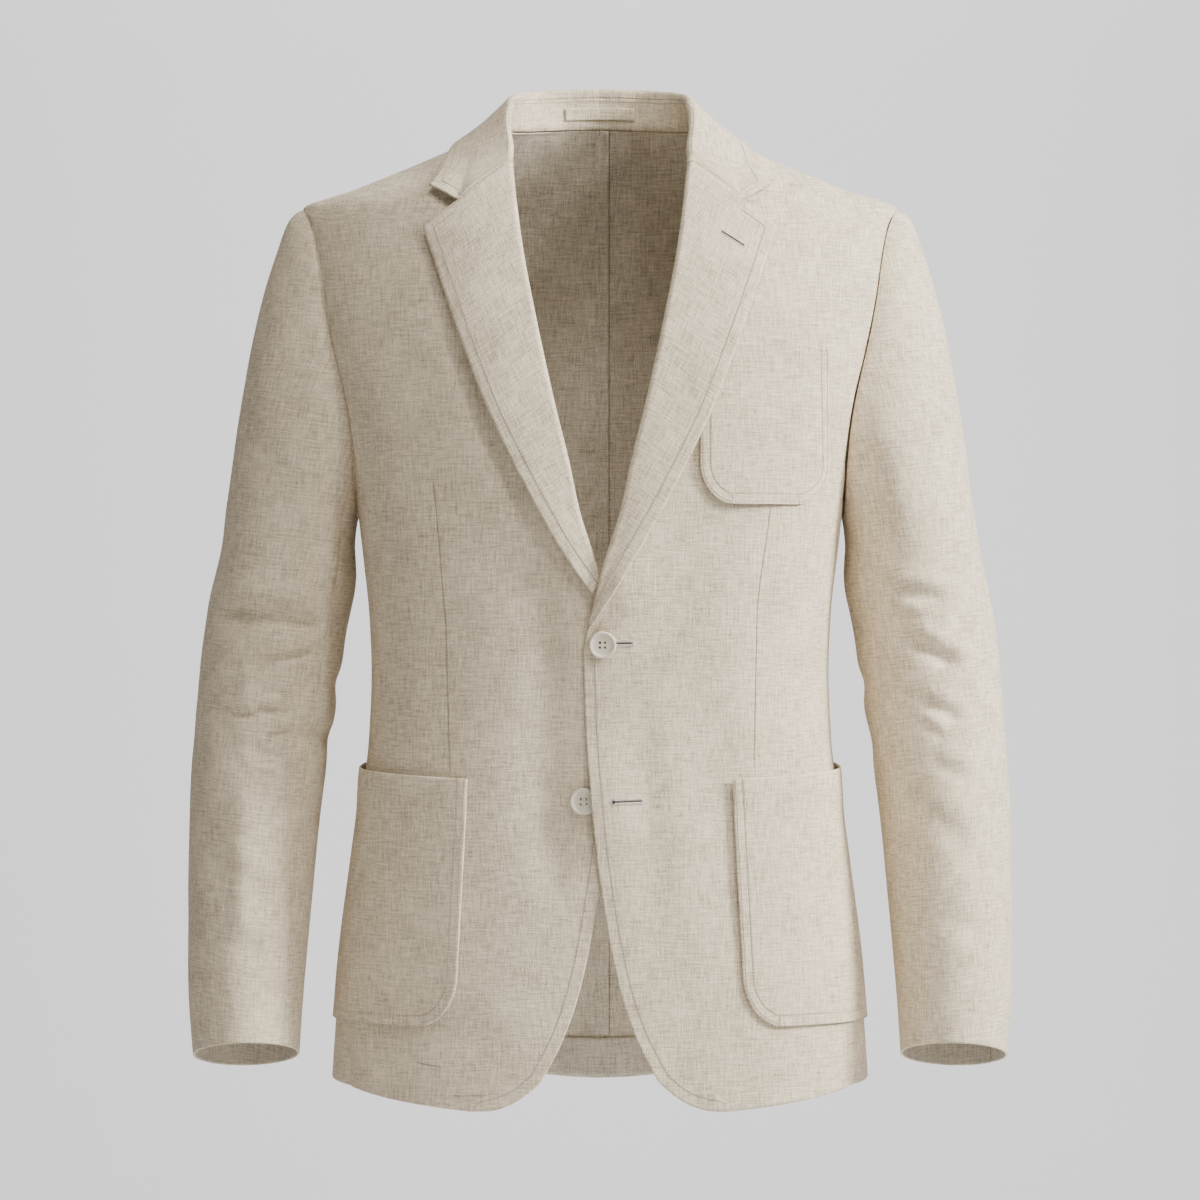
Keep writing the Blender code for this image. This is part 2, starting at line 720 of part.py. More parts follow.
def lapel_row(along, side):
    """One line of a lapel's middle surface: fold first, then the leaf."""
    first = 0.0 if side > 0 else RIGHT_LAPEL_START
    t = mix(first, 1.0, along**1.15)
    foot = ease(t / FOOT_SHARE)
    radius = ROLL_RADIUS * mix(FOOT_RADIUS, 1.0, foot)
    roll_z = mix(LAPEL_FOOT, GORGE - SEAM_GAP, t)
    roll_x = fold_x_at(roll_z)
    edge_z = mix(LAPEL_EDGE[0][0], LAPEL_EDGE[-1][0], t)
    edge_x = lapel_edge_at(edge_z)
    if side < 0:
        edge_x -= RIGHT_EDGE_IN * (1 - foot)
    angle = angle_at_x(roll_x, roll_z)
    start, outward = front_point(angle, roll_z, side, -CLOTH / 2)
    lower_z = roll_z - 0.004
    lower_angle = angle_at_x(fold_x_at(lower_z), lower_z)
    below, _ = front_point(lower_angle, lower_z, side, -CLOTH / 2)
    line = (start - below).normalized()
    onward = outward.cross(line).normalized()
    if onward.x * side > 0:
        onward = -onward
    start = start + onward * mix(FOOT_CLEAR, 3 * SEAM_GAP, foot)
    points = turned(start, onward, outward, radius, FOLD_STEPS)
    for i in range(1, LEAF_STEPS + 1):
        share = i / LEAF_STEPS
        x = mix(roll_x, edge_x, share)
        z = mix(roll_z, edge_z, share)
        top_x, top_z = gorge_point(share, side, False)
        straight_x = mix(roll_line_at(GORGE), lapel_edge_at(LAPEL_EDGE[-1][0]), share)
        straight_z = mix(GORGE, LAPEL_EDGE[-1][0], share)
        pull = ease((t - 0.8) / 0.2)
        x += (top_x - straight_x) * pull
        z += (top_z - straight_z) * pull
        lift = leaf_lift(share, radius, t)
        lift += LEAF_SWELL * math.sin(math.pi * share) * ease(t / 0.3)
        point, _ = front_point(angle_at_x(x, z), z, side, lift)
        points.append(point)
    return points


def centred_wall(name, grid, thick, finish, flip):
    """A wall whose middle surface is the grid."""
    normals = grid_normals(grid)
    if flip:
        normals = [[-normal for normal in row] for row in normals]
    outer = [
        [point + normal * (thick / 2) for point, normal in zip(row, row_normals)]
        for row, row_normals in zip(grid, normals)
    ]
    wall(name, outer, normals, thick, finish, flip=flip)


def make_lapel(side, name, finish):
    grid = [lapel_row(j / LAPEL_ROWS, side) for j in range(LAPEL_ROWS + 1)]
    centred_wall(name, grid, FOLDED_CLOTH, finish, flip=side < 0)


fold_out_at = column(COLLAR_FOLD, 0, 1)
fold_forward_at = column(COLLAR_FOLD, 0, 2)
fold_height_at = column(COLLAR_FOLD, 0, 3)
edge_angle_at = column(COLLAR_EDGE, 0, 1)
edge_height_at = column(COLLAR_EDGE, 0, 2)


def neck_point(station):
    """Where the stand grows from the neck seam, for the half on +X."""
    if station >= 90:
        angle = math.radians(station)
        height = mix(NECK_POINT, BACK_NECK, ease((station - 90) / 90))
        point = body_point(angle, height)
    else:
        height = mix(GORGE, NECK_POINT, (station - 42) / 48)
        point = body_point(angle_at_x(roll_line_at(height), height), height)
    return point


def collar_row(station):
    """One line of the collar's middle surface: stand, fold, then the fall."""
    first = COLLAR_FOLD[0][0]
    fold = Vector((fold_out_at(station), -fold_forward_at(station), fold_height_at(station)))
    root = neck_point(station)
    out = Vector((root.x, root.y, 0.0))
    if station < 90:
        out = Vector((1.0, 0.0, 0.0)).lerp(Vector((root.x, root.y, 0)), 0.3)
    out.normalize()
    start_share = ease((station - first) / FOLD_LEAVES_GORGE)
    if start_share < 1:
        angle = angle_at_x(roll_line_at(GORGE), GORGE)
        gorge_start, gorge_out = front_point(angle, GORGE, 1, -CLOTH / 2)
        onward_start = gorge_out.cross(Vector((0, 0.45, 1))).normalized()
        if onward_start.x > 0:
            onward_start = -onward_start
    base = root - out * mix(STAND_INSET, 1.5 * STAND_INSET, ease((95 - station) / 10))
    base.z += 0.0004
    onward = (fold - base).normalized()
    outward = (out - onward * out.dot(onward)).normalized()
    if start_share < 1:
        onward = onward_start.lerp(onward, start_share).normalized()
        outward = gorge_out.lerp(outward, start_share)
        outward = (outward - onward * outward.dot(onward)).normalized()
        gorge_start += onward_start * (3 * SEAM_GAP) + Vector((0, 0, 2 * SEAM_GAP))
        base = gorge_start.lerp(base, start_share)
        fold = (base + onward * ROLL_RADIUS).lerp(fold, start_share)
    turn_start = fold - onward * ROLL_RADIUS
    turn_start = base + onward * max((turn_start - base).dot(onward), 0.0006)
    edge_height = edge_height_at(station)
    edge_angle = math.radians(edge_angle_at(station))
    edge = body_point(edge_angle, edge_height)
    edge += body_normal(edge_angle, edge_height) * COLLAR_EDGE_LIFT
    hold = 1 - ease((station - first) / EDGE_LEAVES_GORGE)
    reach = edge - turn_start - outward * (2 * ROLL_RADIUS)
    lean = math.atan2(reach.dot(outward), -reach.dot(onward))
    lean = min(max(lean, 0.0), math.radians(COLLAR_LEAN)) * (1 - hold)
    points = [base, base.lerp(turn_start, 0.5)]
    points += turned(turn_start, onward, outward, ROLL_RADIUS, FOLD_STEPS, math.pi - lean)
    fall_start = points[-1]
    for i in range(1, LEAF_STEPS + 1):
        share = i / LEAF_STEPS
        point = fall_start.lerp(edge, share)
        swell = COLLAR_SWELL * math.sin(math.pi * share) * ease((station - first) / 25)
        point += (out + Vector((0, 0, 0.8))).normalized() * swell
        gorge_x, gorge_z = gorge_point(share, 1, True)
        lift = leaf_lift(share, ROLL_RADIUS, 1.0) + LEAF_SWELL * math.sin(math.pi * share)
        seam, _ = front_point(angle_at_x(gorge_x, gorge_z), gorge_z, 1, lift)
        points.append(point.lerp(seam, hold))
    return points


def make_collar(name, finish):
    first = COLLAR_FOLD[0][0]
    stations = [
        mix(first + 0.6, 180.0, (i / COLLAR_ROWS) ** 1.1) for i in range(COLLAR_ROWS + 1)
    ]
    left = [collar_row(station) for station in stations]
    right = [[Vector((-point.x, point.y, point.z)) for point in row] for row in left[:-1]]
    grid = left + right[::-1]
    centred_wall(name, grid, FOLDED_CLOTH, finish, flip=False)


# ----------------------------------------------------------------- sleeves ----
def sleeve_ring(section, turn, folds):
    """Outer face of a sleeve, by section number and turn round it, for +X."""
    low = min(int(section), len(SLEEVE) - 2)
    t = section - low
    outer_x, outer_z, inner_x, inner_z, front, back, tilt = (
        catmull([SLEEVE[min(max(low + k, 0), len(SLEEVE) - 1)][item] for k in (-1, 0, 1, 2)], t)
        for item in range(7)
    )
    middle = Vector(((outer_x + inner_x) / 2, (front + back) / 2, (outer_z + inner_z) / 2))
    across = Vector(((outer_x - inner_x) / 2, 0.0, (outer_z - inner_z) / 2))
    forward = Vector((0.0, (front - back) / 2, tilt / 2))
    point = middle + across * math.cos(turn) + forward * math.sin(turn)
    hold = 1 - ease(section / SLEEVE_BLEND)
    if hold > 0:
        angle, height = armhole(turn if turn <= math.pi else turn - 2 * math.pi)
        seam = body_point(angle, height)
        seam.x += 3 * SEAM_GAP
        flat = Vector((SLEEVE[0][0] + SLEEVE[0][2], 0.0, SLEEVE[0][1] + SLEEVE[0][3])) / 2
        flat += Vector((SLEEVE[0][0] - SLEEVE[0][2], 0.0, SLEEVE[0][1] - SLEEVE[0][3])) / 2 * math.cos(turn)
        flat.y = (SLEEVE[0][4] + SLEEVE[0][5]) / 2 + (SLEEVE[0][4] - SLEEVE[0][5]) / 2 * math.sin(turn)
        point = point + (seam - flat) * hold
    depth = 0.0
    for centre, where, along, around, lean, deep in folds:
        off = (math.degrees(turn) - where + 180) % 360 - 180
        shift = section - centre - lean * off * 4
        depth += deep * bump(shift, along) * bump(off, around)
    inward = middle - point
    inward.normalize()
    return point + inward * depth


def sleeve_normal(section, turn, folds):
    """Outward normal of a sleeve's outer face, for +X."""
    along = 0.02
    lower = min(section + along, len(SLEEVE) - 1)
    upper = max(section - along, 0.0)
    down = sleeve_ring(lower, turn, folds) - sleeve_ring(upper, turn, folds)
    after = sleeve_ring(section, (turn + 0.02) % (2 * math.pi), folds)
    before = sleeve_ring(section, (turn - 0.02) % (2 * math.pi), folds)
    return (after - before).cross(down).normalized()


def catmull(values, t):
    """Smooth curve through the two middle values of four."""
    a, b, c, d = values
    return 0.5 * (
        2 * b + (c - a) * t + (2 * a - 5 * b + 4 * c - d) * t**2 + (3 * b - a - 3 * c + d) * t**3
    )


def back_seam_turn(section):
    """Turn round the sleeve at which the back seam runs."""
    share = section / (len(SLEEVE) - 1)
    return math.radians(mix(BACK_SEAM_ANGLES[0], BACK_SEAM_ANGLES[1], ease(share)))


def sleeve_sections():
    """Section numbers of the rows: closer at the folded elbow."""
    last = len(SLEEVE) - 1
    rows = [i * 1.0 for i in range(0, 8)]
    rows += [8 + 0.5 * i for i in range(0, 14)]
    rows += [float(i) for i in range(15, last + 1)]
    return rows


def make_sleeve(side, part, name, folds, finish):
    """Top or under part of a two-piece sleeve."""
    wide = TOP_SLEEVE_COLUMNS if part == "top" else UNDER_SLEEVE_COLUMNS
    grid = []
    normals = []
    for section in sleeve_sections():
        front_turn = math.radians(FRONT_SEAM_ANGLE)
        back_turn = back_seam_turn(section)
        gap = SEAM_GAP / 2 / SLEEVE_RADIUS
        if part == "top":
            start = back_turn - 2 * math.pi + gap
            end = front_turn - gap
        else:
            start = front_turn + gap
            end = back_turn - gap
        line = []
        line_normals = []
        for i in range(wide + 1):
            turn = mix(start, end, i / wide) % (2 * math.pi)
            point = sleeve_ring(section, turn, folds)
            normal = sleeve_normal(section, turn, folds)
            line.append(Vector((point.x * side, point.y, point.z)))
            line_normals.append(Vector((normal.x * side, normal.y, normal.z)))
        grid.append(line)
        normals.append(line_normals)
    wall(name, grid, normals, CLOTH, finish, flip=side < 0)


# ----------------------------------------------------------------- pockets ----
def rounded_share(down, across, radius_down, radius_across):
    """Pulls the lower corners of a unit square in to round them."""
    if down < 1 - radius_down:
        return across
    t = (down - (1 - radius_down)) / radius_down
    inset = radius_across * (1 - math.sqrt(max(1 - t * t, 0.0)))
    return mix(inset, 1 - inset, across)


def pocket_row(up):
    """Row positions of a pocket, foot to mouth, closer where its corners round."""
    return min(1 - up**1.7, 0.997)


def make_hip_pocket(side, name, finish):
    grid = []
    normals = []
    for j in range(POCKET_ROWS + 1):
        down = pocket_row(j / POCKET_ROWS)
        line = []
        line_normals = []
        for i in range(POCKET_COLUMNS + 1):
            across = rounded_share(down, i / POCKET_COLUMNS, *POCKET_CORNER)
            top = mix(POCKET_TOP[0], POCKET_TOP[1], across)
            height = mix(top, POCKET_FOOT, down)
            front_x = mix(POCKET_FRONT[0], POCKET_FRONT[1], down)
            angle = mix(angle_at_x(front_x, height), math.radians(POCKET_SIDE), across)
            slack = ease(1 - down / 0.22) * math.sqrt(math.sin(math.pi * across))
            stand = POCKET_CLEAR + CLOTH + POCKET_PROUD * slack
            point, normal = front_point(angle, height, side, stand)
            line.append(point)
            line_normals.append(normal)
        grid.append(line)
        normals.append(line_normals)
    wall(name, grid, normals, CLOTH, finish, flip=side < 0)


def make_chest_pocket(name, finish):
    grid = []
    normals = []
    for j in range(CHEST_ROWS + 1):
        down = pocket_row(j / CHEST_ROWS)
        line = []
        line_normals = []
        for i in range(CHEST_COLUMNS + 1):
            across = rounded_share(down, i / CHEST_COLUMNS, *CHEST_CORNER)
            height = mix(CHEST_TOP, CHEST_FOOT, down)
            x = mix(CHEST_INNER, CHEST_OUTER, across)
            angle = angle_at_x(x, height)
            point, normal = front_point(angle, height, 1, CHEST_CLEAR + CLOTH)
            line.append(point)
            line_normals.append(normal)
        grid.append(line)
        normals.append(line_normals)
    wall(name, grid, normals, CLOTH, finish)


# ------------------------------------------------------------ inner strips ----
def inside(grid, normals, depth):
    """Moves a grid in from the outer face of the body."""
    for row, row_normals in zip(grid, normals):
        for i, normal in enumerate(row_normals):
            row[i] = row[i] - normal * depth


def make_back_turnup(name, finish):
    """Turned-up hem along the inside of the back, sewn to it."""
    first = math.radians(SIDE_BACK_SEAM[0][1] + 2)
    last = 2 * math.pi - first
    angles = [mix(first, last, i / TURNUP_COLUMNS) for i in range(TURNUP_COLUMNS + 1)]
    rows = []
    for up in (0.002, TURNUP / 2, TURNUP):
        rows.append([(angle, hem_height(angle) + up) for angle in angles])
    grid, normals = body_grid(1, rows)
    inside(grid, normals, CLOTH + TURNUP_CLEAR)
    wall(name, grid, normals, STRIP, finish)


def make_back_allowance(name, finish):
    """Seam allowance sewn down along the inside of the centre back."""
    rows = []
    lowest = HEM + TURNUP + 0.004
    for row in back_domain()[1:]:
        height = min(max(row[-1][1], lowest), BACK_NECK - 0.004)
        rows.append([
            (math.pi - math.atan2(x, back_depth_at(height)), height) for x in ALLOWANCE_EDGES
        ])
    grid, normals = body_grid(1, rows)
    inside(grid, normals, CLOTH + ALLOWANCE_CLEAR)
    wall(name, grid, normals, STRIP, finish)


def make_hanger_loop(name, finish):
    """Blank strip sewn across the inside of the stand."""
    grid = []
    for height_share in HANGER_EDGES:
        line = []
        for i in range(HANGER_COLUMNS + 1):
            x = mix(-HANGER_HALF_LENGTH, HANGER_HALF_LENGTH, i / HANGER_COLUMNS)
            station = 180 - math.degrees(math.atan2(abs(x), STAND_RADIUS))
            row = collar_row(station)
            point = row[0].lerp(row[2], height_share)
            inward = Vector((-row[0].x, -row[0].y, 0)).normalized()
            point = point + inward * (FOLDED_CLOTH / 2 + HANGER_CLEAR + HANGER_WALL)
            line.append(Vector((math.copysign(point.x, x), point.y, point.z)))
        grid.append(line)
    normals = grid_normals(grid)
    wall(name, grid, normals, HANGER_WALL, finish)


# ----------------------------------------------------------------- buttons ----
def make_button(name, x, height, over_left, finish):
    """Turned disc with a raised rim, a dished middle and four holes."""
    side = 1 if over_left else -1
    angle = angle_at_x(x * side, height)
    face, normal = front_point(angle, height, side)
    points = [Vector((0, 0, 0))]
    for out, up in BUTTON_PROFILE:
        for i in range(BUTTON_SIDES):
            turn = 2 * math.pi * i / BUTTON_SIDES
            radius = BUTTON_RADIUS * out
            height_up = BUTTON_THICK * up
            points.append(Vector((radius * math.cos(turn), radius * math.sin(turn), height_up)))
    points.append(Vector((0, 0, BUTTON_THICK * BUTTON_DISH)))
    faces = []
    for i in range(BUTTON_SIDES):
        after = (i + 1) % BUTTON_SIDES
        faces.append((0, 1 + after, 1 + i))
        for k in range(len(BUTTON_PROFILE) - 1):
            low = 1 + k * BUTTON_SIDES
            high = low + BUTTON_SIDES
            faces.append((low + i, low + after, high + after, high + i))
        low = 1 + (len(BUTTON_PROFILE) - 1) * BUTTON_SIDES
        faces.append((low + i, low + after, len(points) - 1))
    made = add_object(name, points, faces, finish)
    for i in range(4):
        turn = math.pi / 4 + math.pi / 2 * i
        bpy.ops.mesh.primitive_cylinder_add(
            vertices=8,
            radius=BUTTON_HOLE,
            depth=6 * BUTTON_THICK,
            location=(BUTTON_HOLE_OUT * math.cos(turn), BUTTON_HOLE_OUT * math.sin(turn), 0),
        )
        cutter = bpy.context.object
        cutter.name = name + "_hole_" + str(i)
        cutter.hide_render = True
        cutter.display_type = "WIRE"
        cutter.parent = made
        cut = made.modifiers.new("hole" + str(i), "BOOLEAN")
        cut.operation = "DIFFERENCE"
        cut.object = cutter
    made.location = face + normal * (3 * SEAM_GAP)
    made.rotation_mode = "QUATERNION"
    made.rotation_quaternion = normal.to_track_quat("Z", "Y")


# ------------------------------------------------------------------- build ----
for old in list(bpy.data.objects):
    bpy.data.objects.remove(old)

linen = material("linen", LINEN, 0.9)
linen_inside = material("linen_inside", LINEN_INSIDE, 0.95)
horn = material("button", HORN, 0.35)

for side, word, folds in ((1, "left", LEFT_FOLDS), (-1, "right", RIGHT_FOLDS)):
    make_front(side, "front_" + word, linen)
    make_side(side, "side_" + word, linen)
    make_back(side, "back_" + word, linen)
    make_lapel(side, "lapel_" + word, linen)
    make_hip_pocket(side, "pocket_" + word, linen)
    make_sleeve(side, "top", "sleeve_" + word + "_top", folds, linen)
    make_sleeve(side, "under", "sleeve_" + word + "_under", folds, linen)
make_collar("collar", linen)
make_chest_pocket("pocket_chest", linen)
make_back_turnup("back_turnup", linen_inside)
make_back_allowance("back_allowance", linen_inside)
make_hanger_loop("hanger_loop", linen_inside)
make_button("button_top", BUTTON_X[0], BUTTON_HEIGHTS[0], True, horn)
make_button("button_low", BUTTON_X[1], BUTTON_HEIGHTS[1], False, horn)
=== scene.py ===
"""Looks of the single-breasted linen blazer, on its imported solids.

Metres, +Z up.  X runs to the wearer's left, -Y is the wearer's front.
Each cloth piece is a thin shell on the form of its solid, with its own
creases, edges, stitching and weave.
"""

import math

import bpy
import numpy as np
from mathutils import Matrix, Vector
from mathutils.bvhtree import BVHTree


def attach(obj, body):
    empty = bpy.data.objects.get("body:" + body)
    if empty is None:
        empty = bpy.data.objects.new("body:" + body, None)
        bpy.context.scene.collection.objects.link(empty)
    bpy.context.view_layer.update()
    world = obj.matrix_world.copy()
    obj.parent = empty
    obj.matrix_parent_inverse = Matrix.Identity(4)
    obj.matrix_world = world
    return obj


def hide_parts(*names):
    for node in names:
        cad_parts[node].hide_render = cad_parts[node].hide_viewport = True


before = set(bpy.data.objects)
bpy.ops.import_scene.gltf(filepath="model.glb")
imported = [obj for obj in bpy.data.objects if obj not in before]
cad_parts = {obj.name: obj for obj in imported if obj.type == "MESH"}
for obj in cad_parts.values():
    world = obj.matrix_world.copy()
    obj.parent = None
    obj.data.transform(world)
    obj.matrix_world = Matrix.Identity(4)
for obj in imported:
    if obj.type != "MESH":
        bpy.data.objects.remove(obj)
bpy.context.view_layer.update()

# ------------------------------------------------- sizes, as in the solids ----
CLOTH = 0.0016            # wall of one cloth piece
FOLDED_CLOTH = 0.0022     # wall of lapels and collar, cloth and facing together
SEAM_GAP = 0.0003         # left between neighbouring pieces

HEM = -0.745              # hem at the centre
HEM_RISE = 0.016          # the hem is this much higher at the sides
NECK_POINT = -0.002       # top of the shoulder seam
SHOULDER_TIP = -0.064     # where the shoulder seam meets the sleeve
BACK_NECK = 0.004         # centre back neck seam

ARMHOLE_LOW = -0.302      # underarm
SIDE_TOP = -0.284         # where the seams of the side panel meet the armhole
ARMHOLE_FRONT = 0.065     # reach of the armhole before and behind the shoulder seam
ARMHOLE_BACK = 0.074

BREAK = -0.371            # where the lapel leaves the front edge
LAPEL_FOOT = -0.383       # where its folded edge has run out on the front edge
GORGE = -0.0375           # where the lapel meets the collar on the roll line
STAND_INSET = 0.0025      # middle of the stand inside the neck seam
ROLL_RADIUS = 0.0026      # of the fold along the roll line
LEAF_EDGE_LIFT = 0.0050   # middle of the lapel above the front, at its edge
LEAF_FOOT_LIFT = 0.0020   # the same at the lapel's foot
LEAF_SWELL = 0.0012       # the leaf bows out this much between fold and edge
FOOT_SHARE = 0.22         # of the lapel's length, over which its fold grows
RIGHT_LAPEL_START = 0.083 # share of the right lapel hidden under the left front
RIGHT_EDGE_IN = 0.0045    # the right lapel is this much narrower at its foot
COLLAR_EDGE_LIFT = 0.0030 # middle of the collar's edge above the body
COLLAR_SWELL = 0.0005
COLLAR_LEAN = 75          # degrees, at most, that the fall leans away from the stand
FOLD_LEAVES_GORGE = 30    # degrees round the neck over which the collar's fold
EDGE_LEAVES_GORGE = 22    # and its edge turn from the lapel's to their own lines
OVERLAP = 0.0030          # left front over right front
OVERLAP_EDGE = 0.012      # across: where this starts to fade, and over how much
OVERLAP_FADE = 0.055
BREAK_RISE = 0.0032       # more at the break, round this height
BREAK_RISE_HEIGHT = -0.355
BREAK_RISE_REACH = 0.024
BUTTON_RISE = 0.0042      # and over the lower button
BUTTON_RISE_REACH = 0.034
BUTTON_RISE_FADE = 0.040

BUTTON_RADIUS = 0.01025
BUTTON_THICK = 0.0032
BUTTON_HEIGHTS = (-0.398, -0.515)
BUTTON_X = (0.0018, -0.0123)
BUTTON_HOLE = 0.0010      # radius of a hole, and how far it is from the centre
BUTTON_HOLE_OUT = 0.0026
BUTTON_DISH = 0.66        # height of the dished middle, as a share of the thickness

FRONT_COLUMNS = 12        # across a front
BACK_COLUMNS = 8
SIDE_COLUMNS = 6
ROWS_BELOW_ARM = 14       # up to the armhole, along the armhole, on the shoulder
ROWS_AT_ARM = 7
ROWS_ON_SHOULDER = 8
TOP_SLEEVE_COLUMNS = 12
UNDER_SLEEVE_COLUMNS = 9

# Body sections: height, half width, depth to the front, depth to the back,
# squareness of the outline (2 is an ellipse).
BODY = (
    (-0.760, 0.2075, 0.132, 0.120, 2.8),
    (-0.710, 0.2045, 0.132, 0.122, 2.8),
    (-0.640, 0.1990, 0.131, 0.125, 2.8),
    (-0.565, 0.1895, 0.129, 0.119, 2.8),
    (-0.520, 0.1835, 0.128, 0.110, 2.8),
    (-0.470, 0.1775, 0.128, 0.100, 2.8),
    (-0.420, 0.1755, 0.130, 0.096, 2.8),
    (-0.380, 0.1770, 0.133, 0.098, 2.8),
    (-0.335, 0.1815, 0.136, 0.104, 2.8),
    (-0.287, 0.1876, 0.138, 0.111, 2.8),
    (-0.230, 0.2000, 0.138, 0.119, 2.7),
    (-0.166, 0.2175, 0.132, 0.122, 2.5),
    (-0.130, 0.2244, 0.124, 0.118, 2.3),
    (-0.094, 0.2280, 0.114, 0.110, 2.0),
    (-0.064, 0.2290, 0.101, 0.099, 1.8),
    (-0.050, 0.1915, 0.091, 0.093, 1.8),
    (-0.035, 0.1540, 0.079, 0.086, 1.8),
    (-0.018, 0.1140, 0.064, 0.078, 1.9),
    (0.000, 0.0735, 0.040, 0.069, 2.0),
    (0.012, 0.0600, 0.030, 0.063, 2.0),
)

# Front edge below the lapel: height, distance past the centre (minus: past it
# to the other side).
FRONT_EDGE = (
    (-0.723, 0.0440),
    (-0.690, 0.0272),
    (-0.659, 0.0165),
    (-0.625, 0.0087),
    (-0.579, 0.0012),
    (-0.552, -0.0024),
    (-0.515, -0.0060),
    (-0.468, -0.0097),
    (-0.424, -0.0114),
    (-0.400, -0.0118),
    (-0.385, -0.0085),
    (-0.371, -0.0042),
)

# The rounded foot of each front, from the front edge to the hem:
# share of the way to the side, distance from the centre, height.
FRONT_FOOT = (
    (0.00, 0.0440, -0.7230),
    (0.08, 0.0560, -0.7335),
    (0.17, 0.0700, -0.7415),
    (0.27, 0.0860, -0.7458),
)

# Roll line of the lapel: height, distance from the centre.
ROLL_LINE = (
    (-0.371, -0.0042),
    (-0.350, 0.0020),
    (-0.333, 0.0080),
    (-0.303, 0.0185),
    (-0.262, 0.0275),
    (-0.216, 0.0388),
    (-0.150, 0.0530),
    (-0.106, 0.0613),
    (-0.069, 0.0665),
    (-0.0375, 0.0700),
    (-0.018, 0.0722),
    (-0.002, 0.0735),
)

# Outer edge of the lapel: height, distance from the centre.
LAPEL_EDGE = (
    (-0.384, -0.0062),
    (-0.378, -0.0022),
    (-0.366, 0.0052),
    (-0.343, 0.0190),
    (-0.296, 0.0458),
    (-0.243, 0.0725),
    (-0.216, 0.0846),
    (-0.174, 0.1005),
    (-0.140, 0.1127),
    (-0.110, 0.1228),
    (-0.086, 0.1310),
)
NOTCH = (0.1050, -0.0668)          # distance from the centre, height
COLLAR_POINT = (0.1275, -0.0558)

# Seam between front and side panel, and between side panel and back:
# height, angle from the front in degrees.
SIDE_FRONT_SEAM = ((-0.75, 68.0), (-0.60, 69.0), (-0.42, 69.5), (-0.35, 71.0))
SIDE_BACK_SEAM = ((-0.75, 112.0), (-0.42, 112.0), (-0.34, 110.0))

# Fold of the collar round the neck: angle from the front in degrees, distance
# out from the centre line, distance forward, height.
COLLAR_FOLD = (
    (42, 0.0670, 0.0745, -0.0375),
    (52, 0.0680, 0.0660, -0.0270),
    (65, 0.0690, 0.0510, -0.0100),
    (78, 0.0685, 0.0330, 0.0060),
    (90, 0.0660, 0.0080, 0.0180),
    (112, 0.0625, -0.0270, 0.0265),
    (132, 0.0530, -0.0470, 0.0310),
    (152, 0.0320, -0.0590, 0.0335),
    (180, 0.0000, -0.0630, 0.0345),
)

# Outer edge of the collar on the shoulders and back: the same angles in
# degrees, then angle on the body and height.
COLLAR_EDGE = (
    (42, 59.5, -0.0558),
    (58, 67.5, -0.0360),
    (75, 82.0, -0.0185),
    (90, 96.0, -0.0145),
    (112, 116.0, -0.0130),
    (132, 138.0, -0.0115),
    (152, 158.0, -0.0105),
    (180, 180.0, -0.0100),
)

# Sleeve sections from armhole to cuff: outer side x and z, inner side x and z,
# furthest forward, furthest back, how much higher the front is than the back.
SLEEVE = (
    (0.2290, -0.0640, 0.1876, -0.3020, -0.070, 0.072, 0.000),
    (0.2395, -0.0740, 0.1890, -0.3090, -0.072, 0.074, 0.000),
    (0.2490, -0.0990, 0.1895, -0.3170, -0.073, 0.075, 0.000),
    (0.2590, -0.1300, 0.1895, -0.3260, -0.072, 0.075, 0.000),
    (0.2685, -0.1700, 0.1885, -0.3360, -0.070, 0.074, 0.000),
    (0.2760, -0.2120, 0.1880, -0.3470, -0.068, 0.072, 0.000),
    (0.2825, -0.2550, 0.1893, -0.3600, -0.066, 0.070, 0.000),
    (0.2880, -0.2950, 0.1925, -0.3750, -0.065, 0.068, 0.000),
    (0.2945, -0.3350, 0.1960, -0.3930, -0.064, 0.066, 0.000),
    (0.3020, -0.3700, 0.1985, -0.4130, -0.064, 0.064, 0.000),
    (0.3065, -0.4030, 0.2010, -0.4350, -0.065, 0.061, 0.000),
    (0.3095, -0.4370, 0.2050, -0.4580, -0.067, 0.058, 0.000),
    (0.3125, -0.4720, 0.2090, -0.4850, -0.070, 0.053, 0.002),
    (0.3143, -0.5080, 0.2130, -0.5150, -0.074, 0.047, 0.005),
    (0.3148, -0.5450, 0.2165, -0.5480, -0.079, 0.040, 0.008),
    (0.3150, -0.5830, 0.2195, -0.5840, -0.085, 0.032, 0.012),
    (0.3144, -0.6230, 0.2228, -0.6230, -0.091, 0.023, 0.016),
    (0.3133, -0.6670, 0.2260, -0.6650, -0.098, 0.013, 0.021),
    (0.3092, -0.7115, 0.2285, -0.7085, -0.105, 0.001, 0.027),
)
SLEEVE_BLEND = 5          # sections over which the armhole turns into a round sleeve
FRONT_SEAM_ANGLE = 140    # degrees from the outer side, towards the front
BACK_SEAM_ANGLES = (262, 325)   # at the armhole and at the cuff

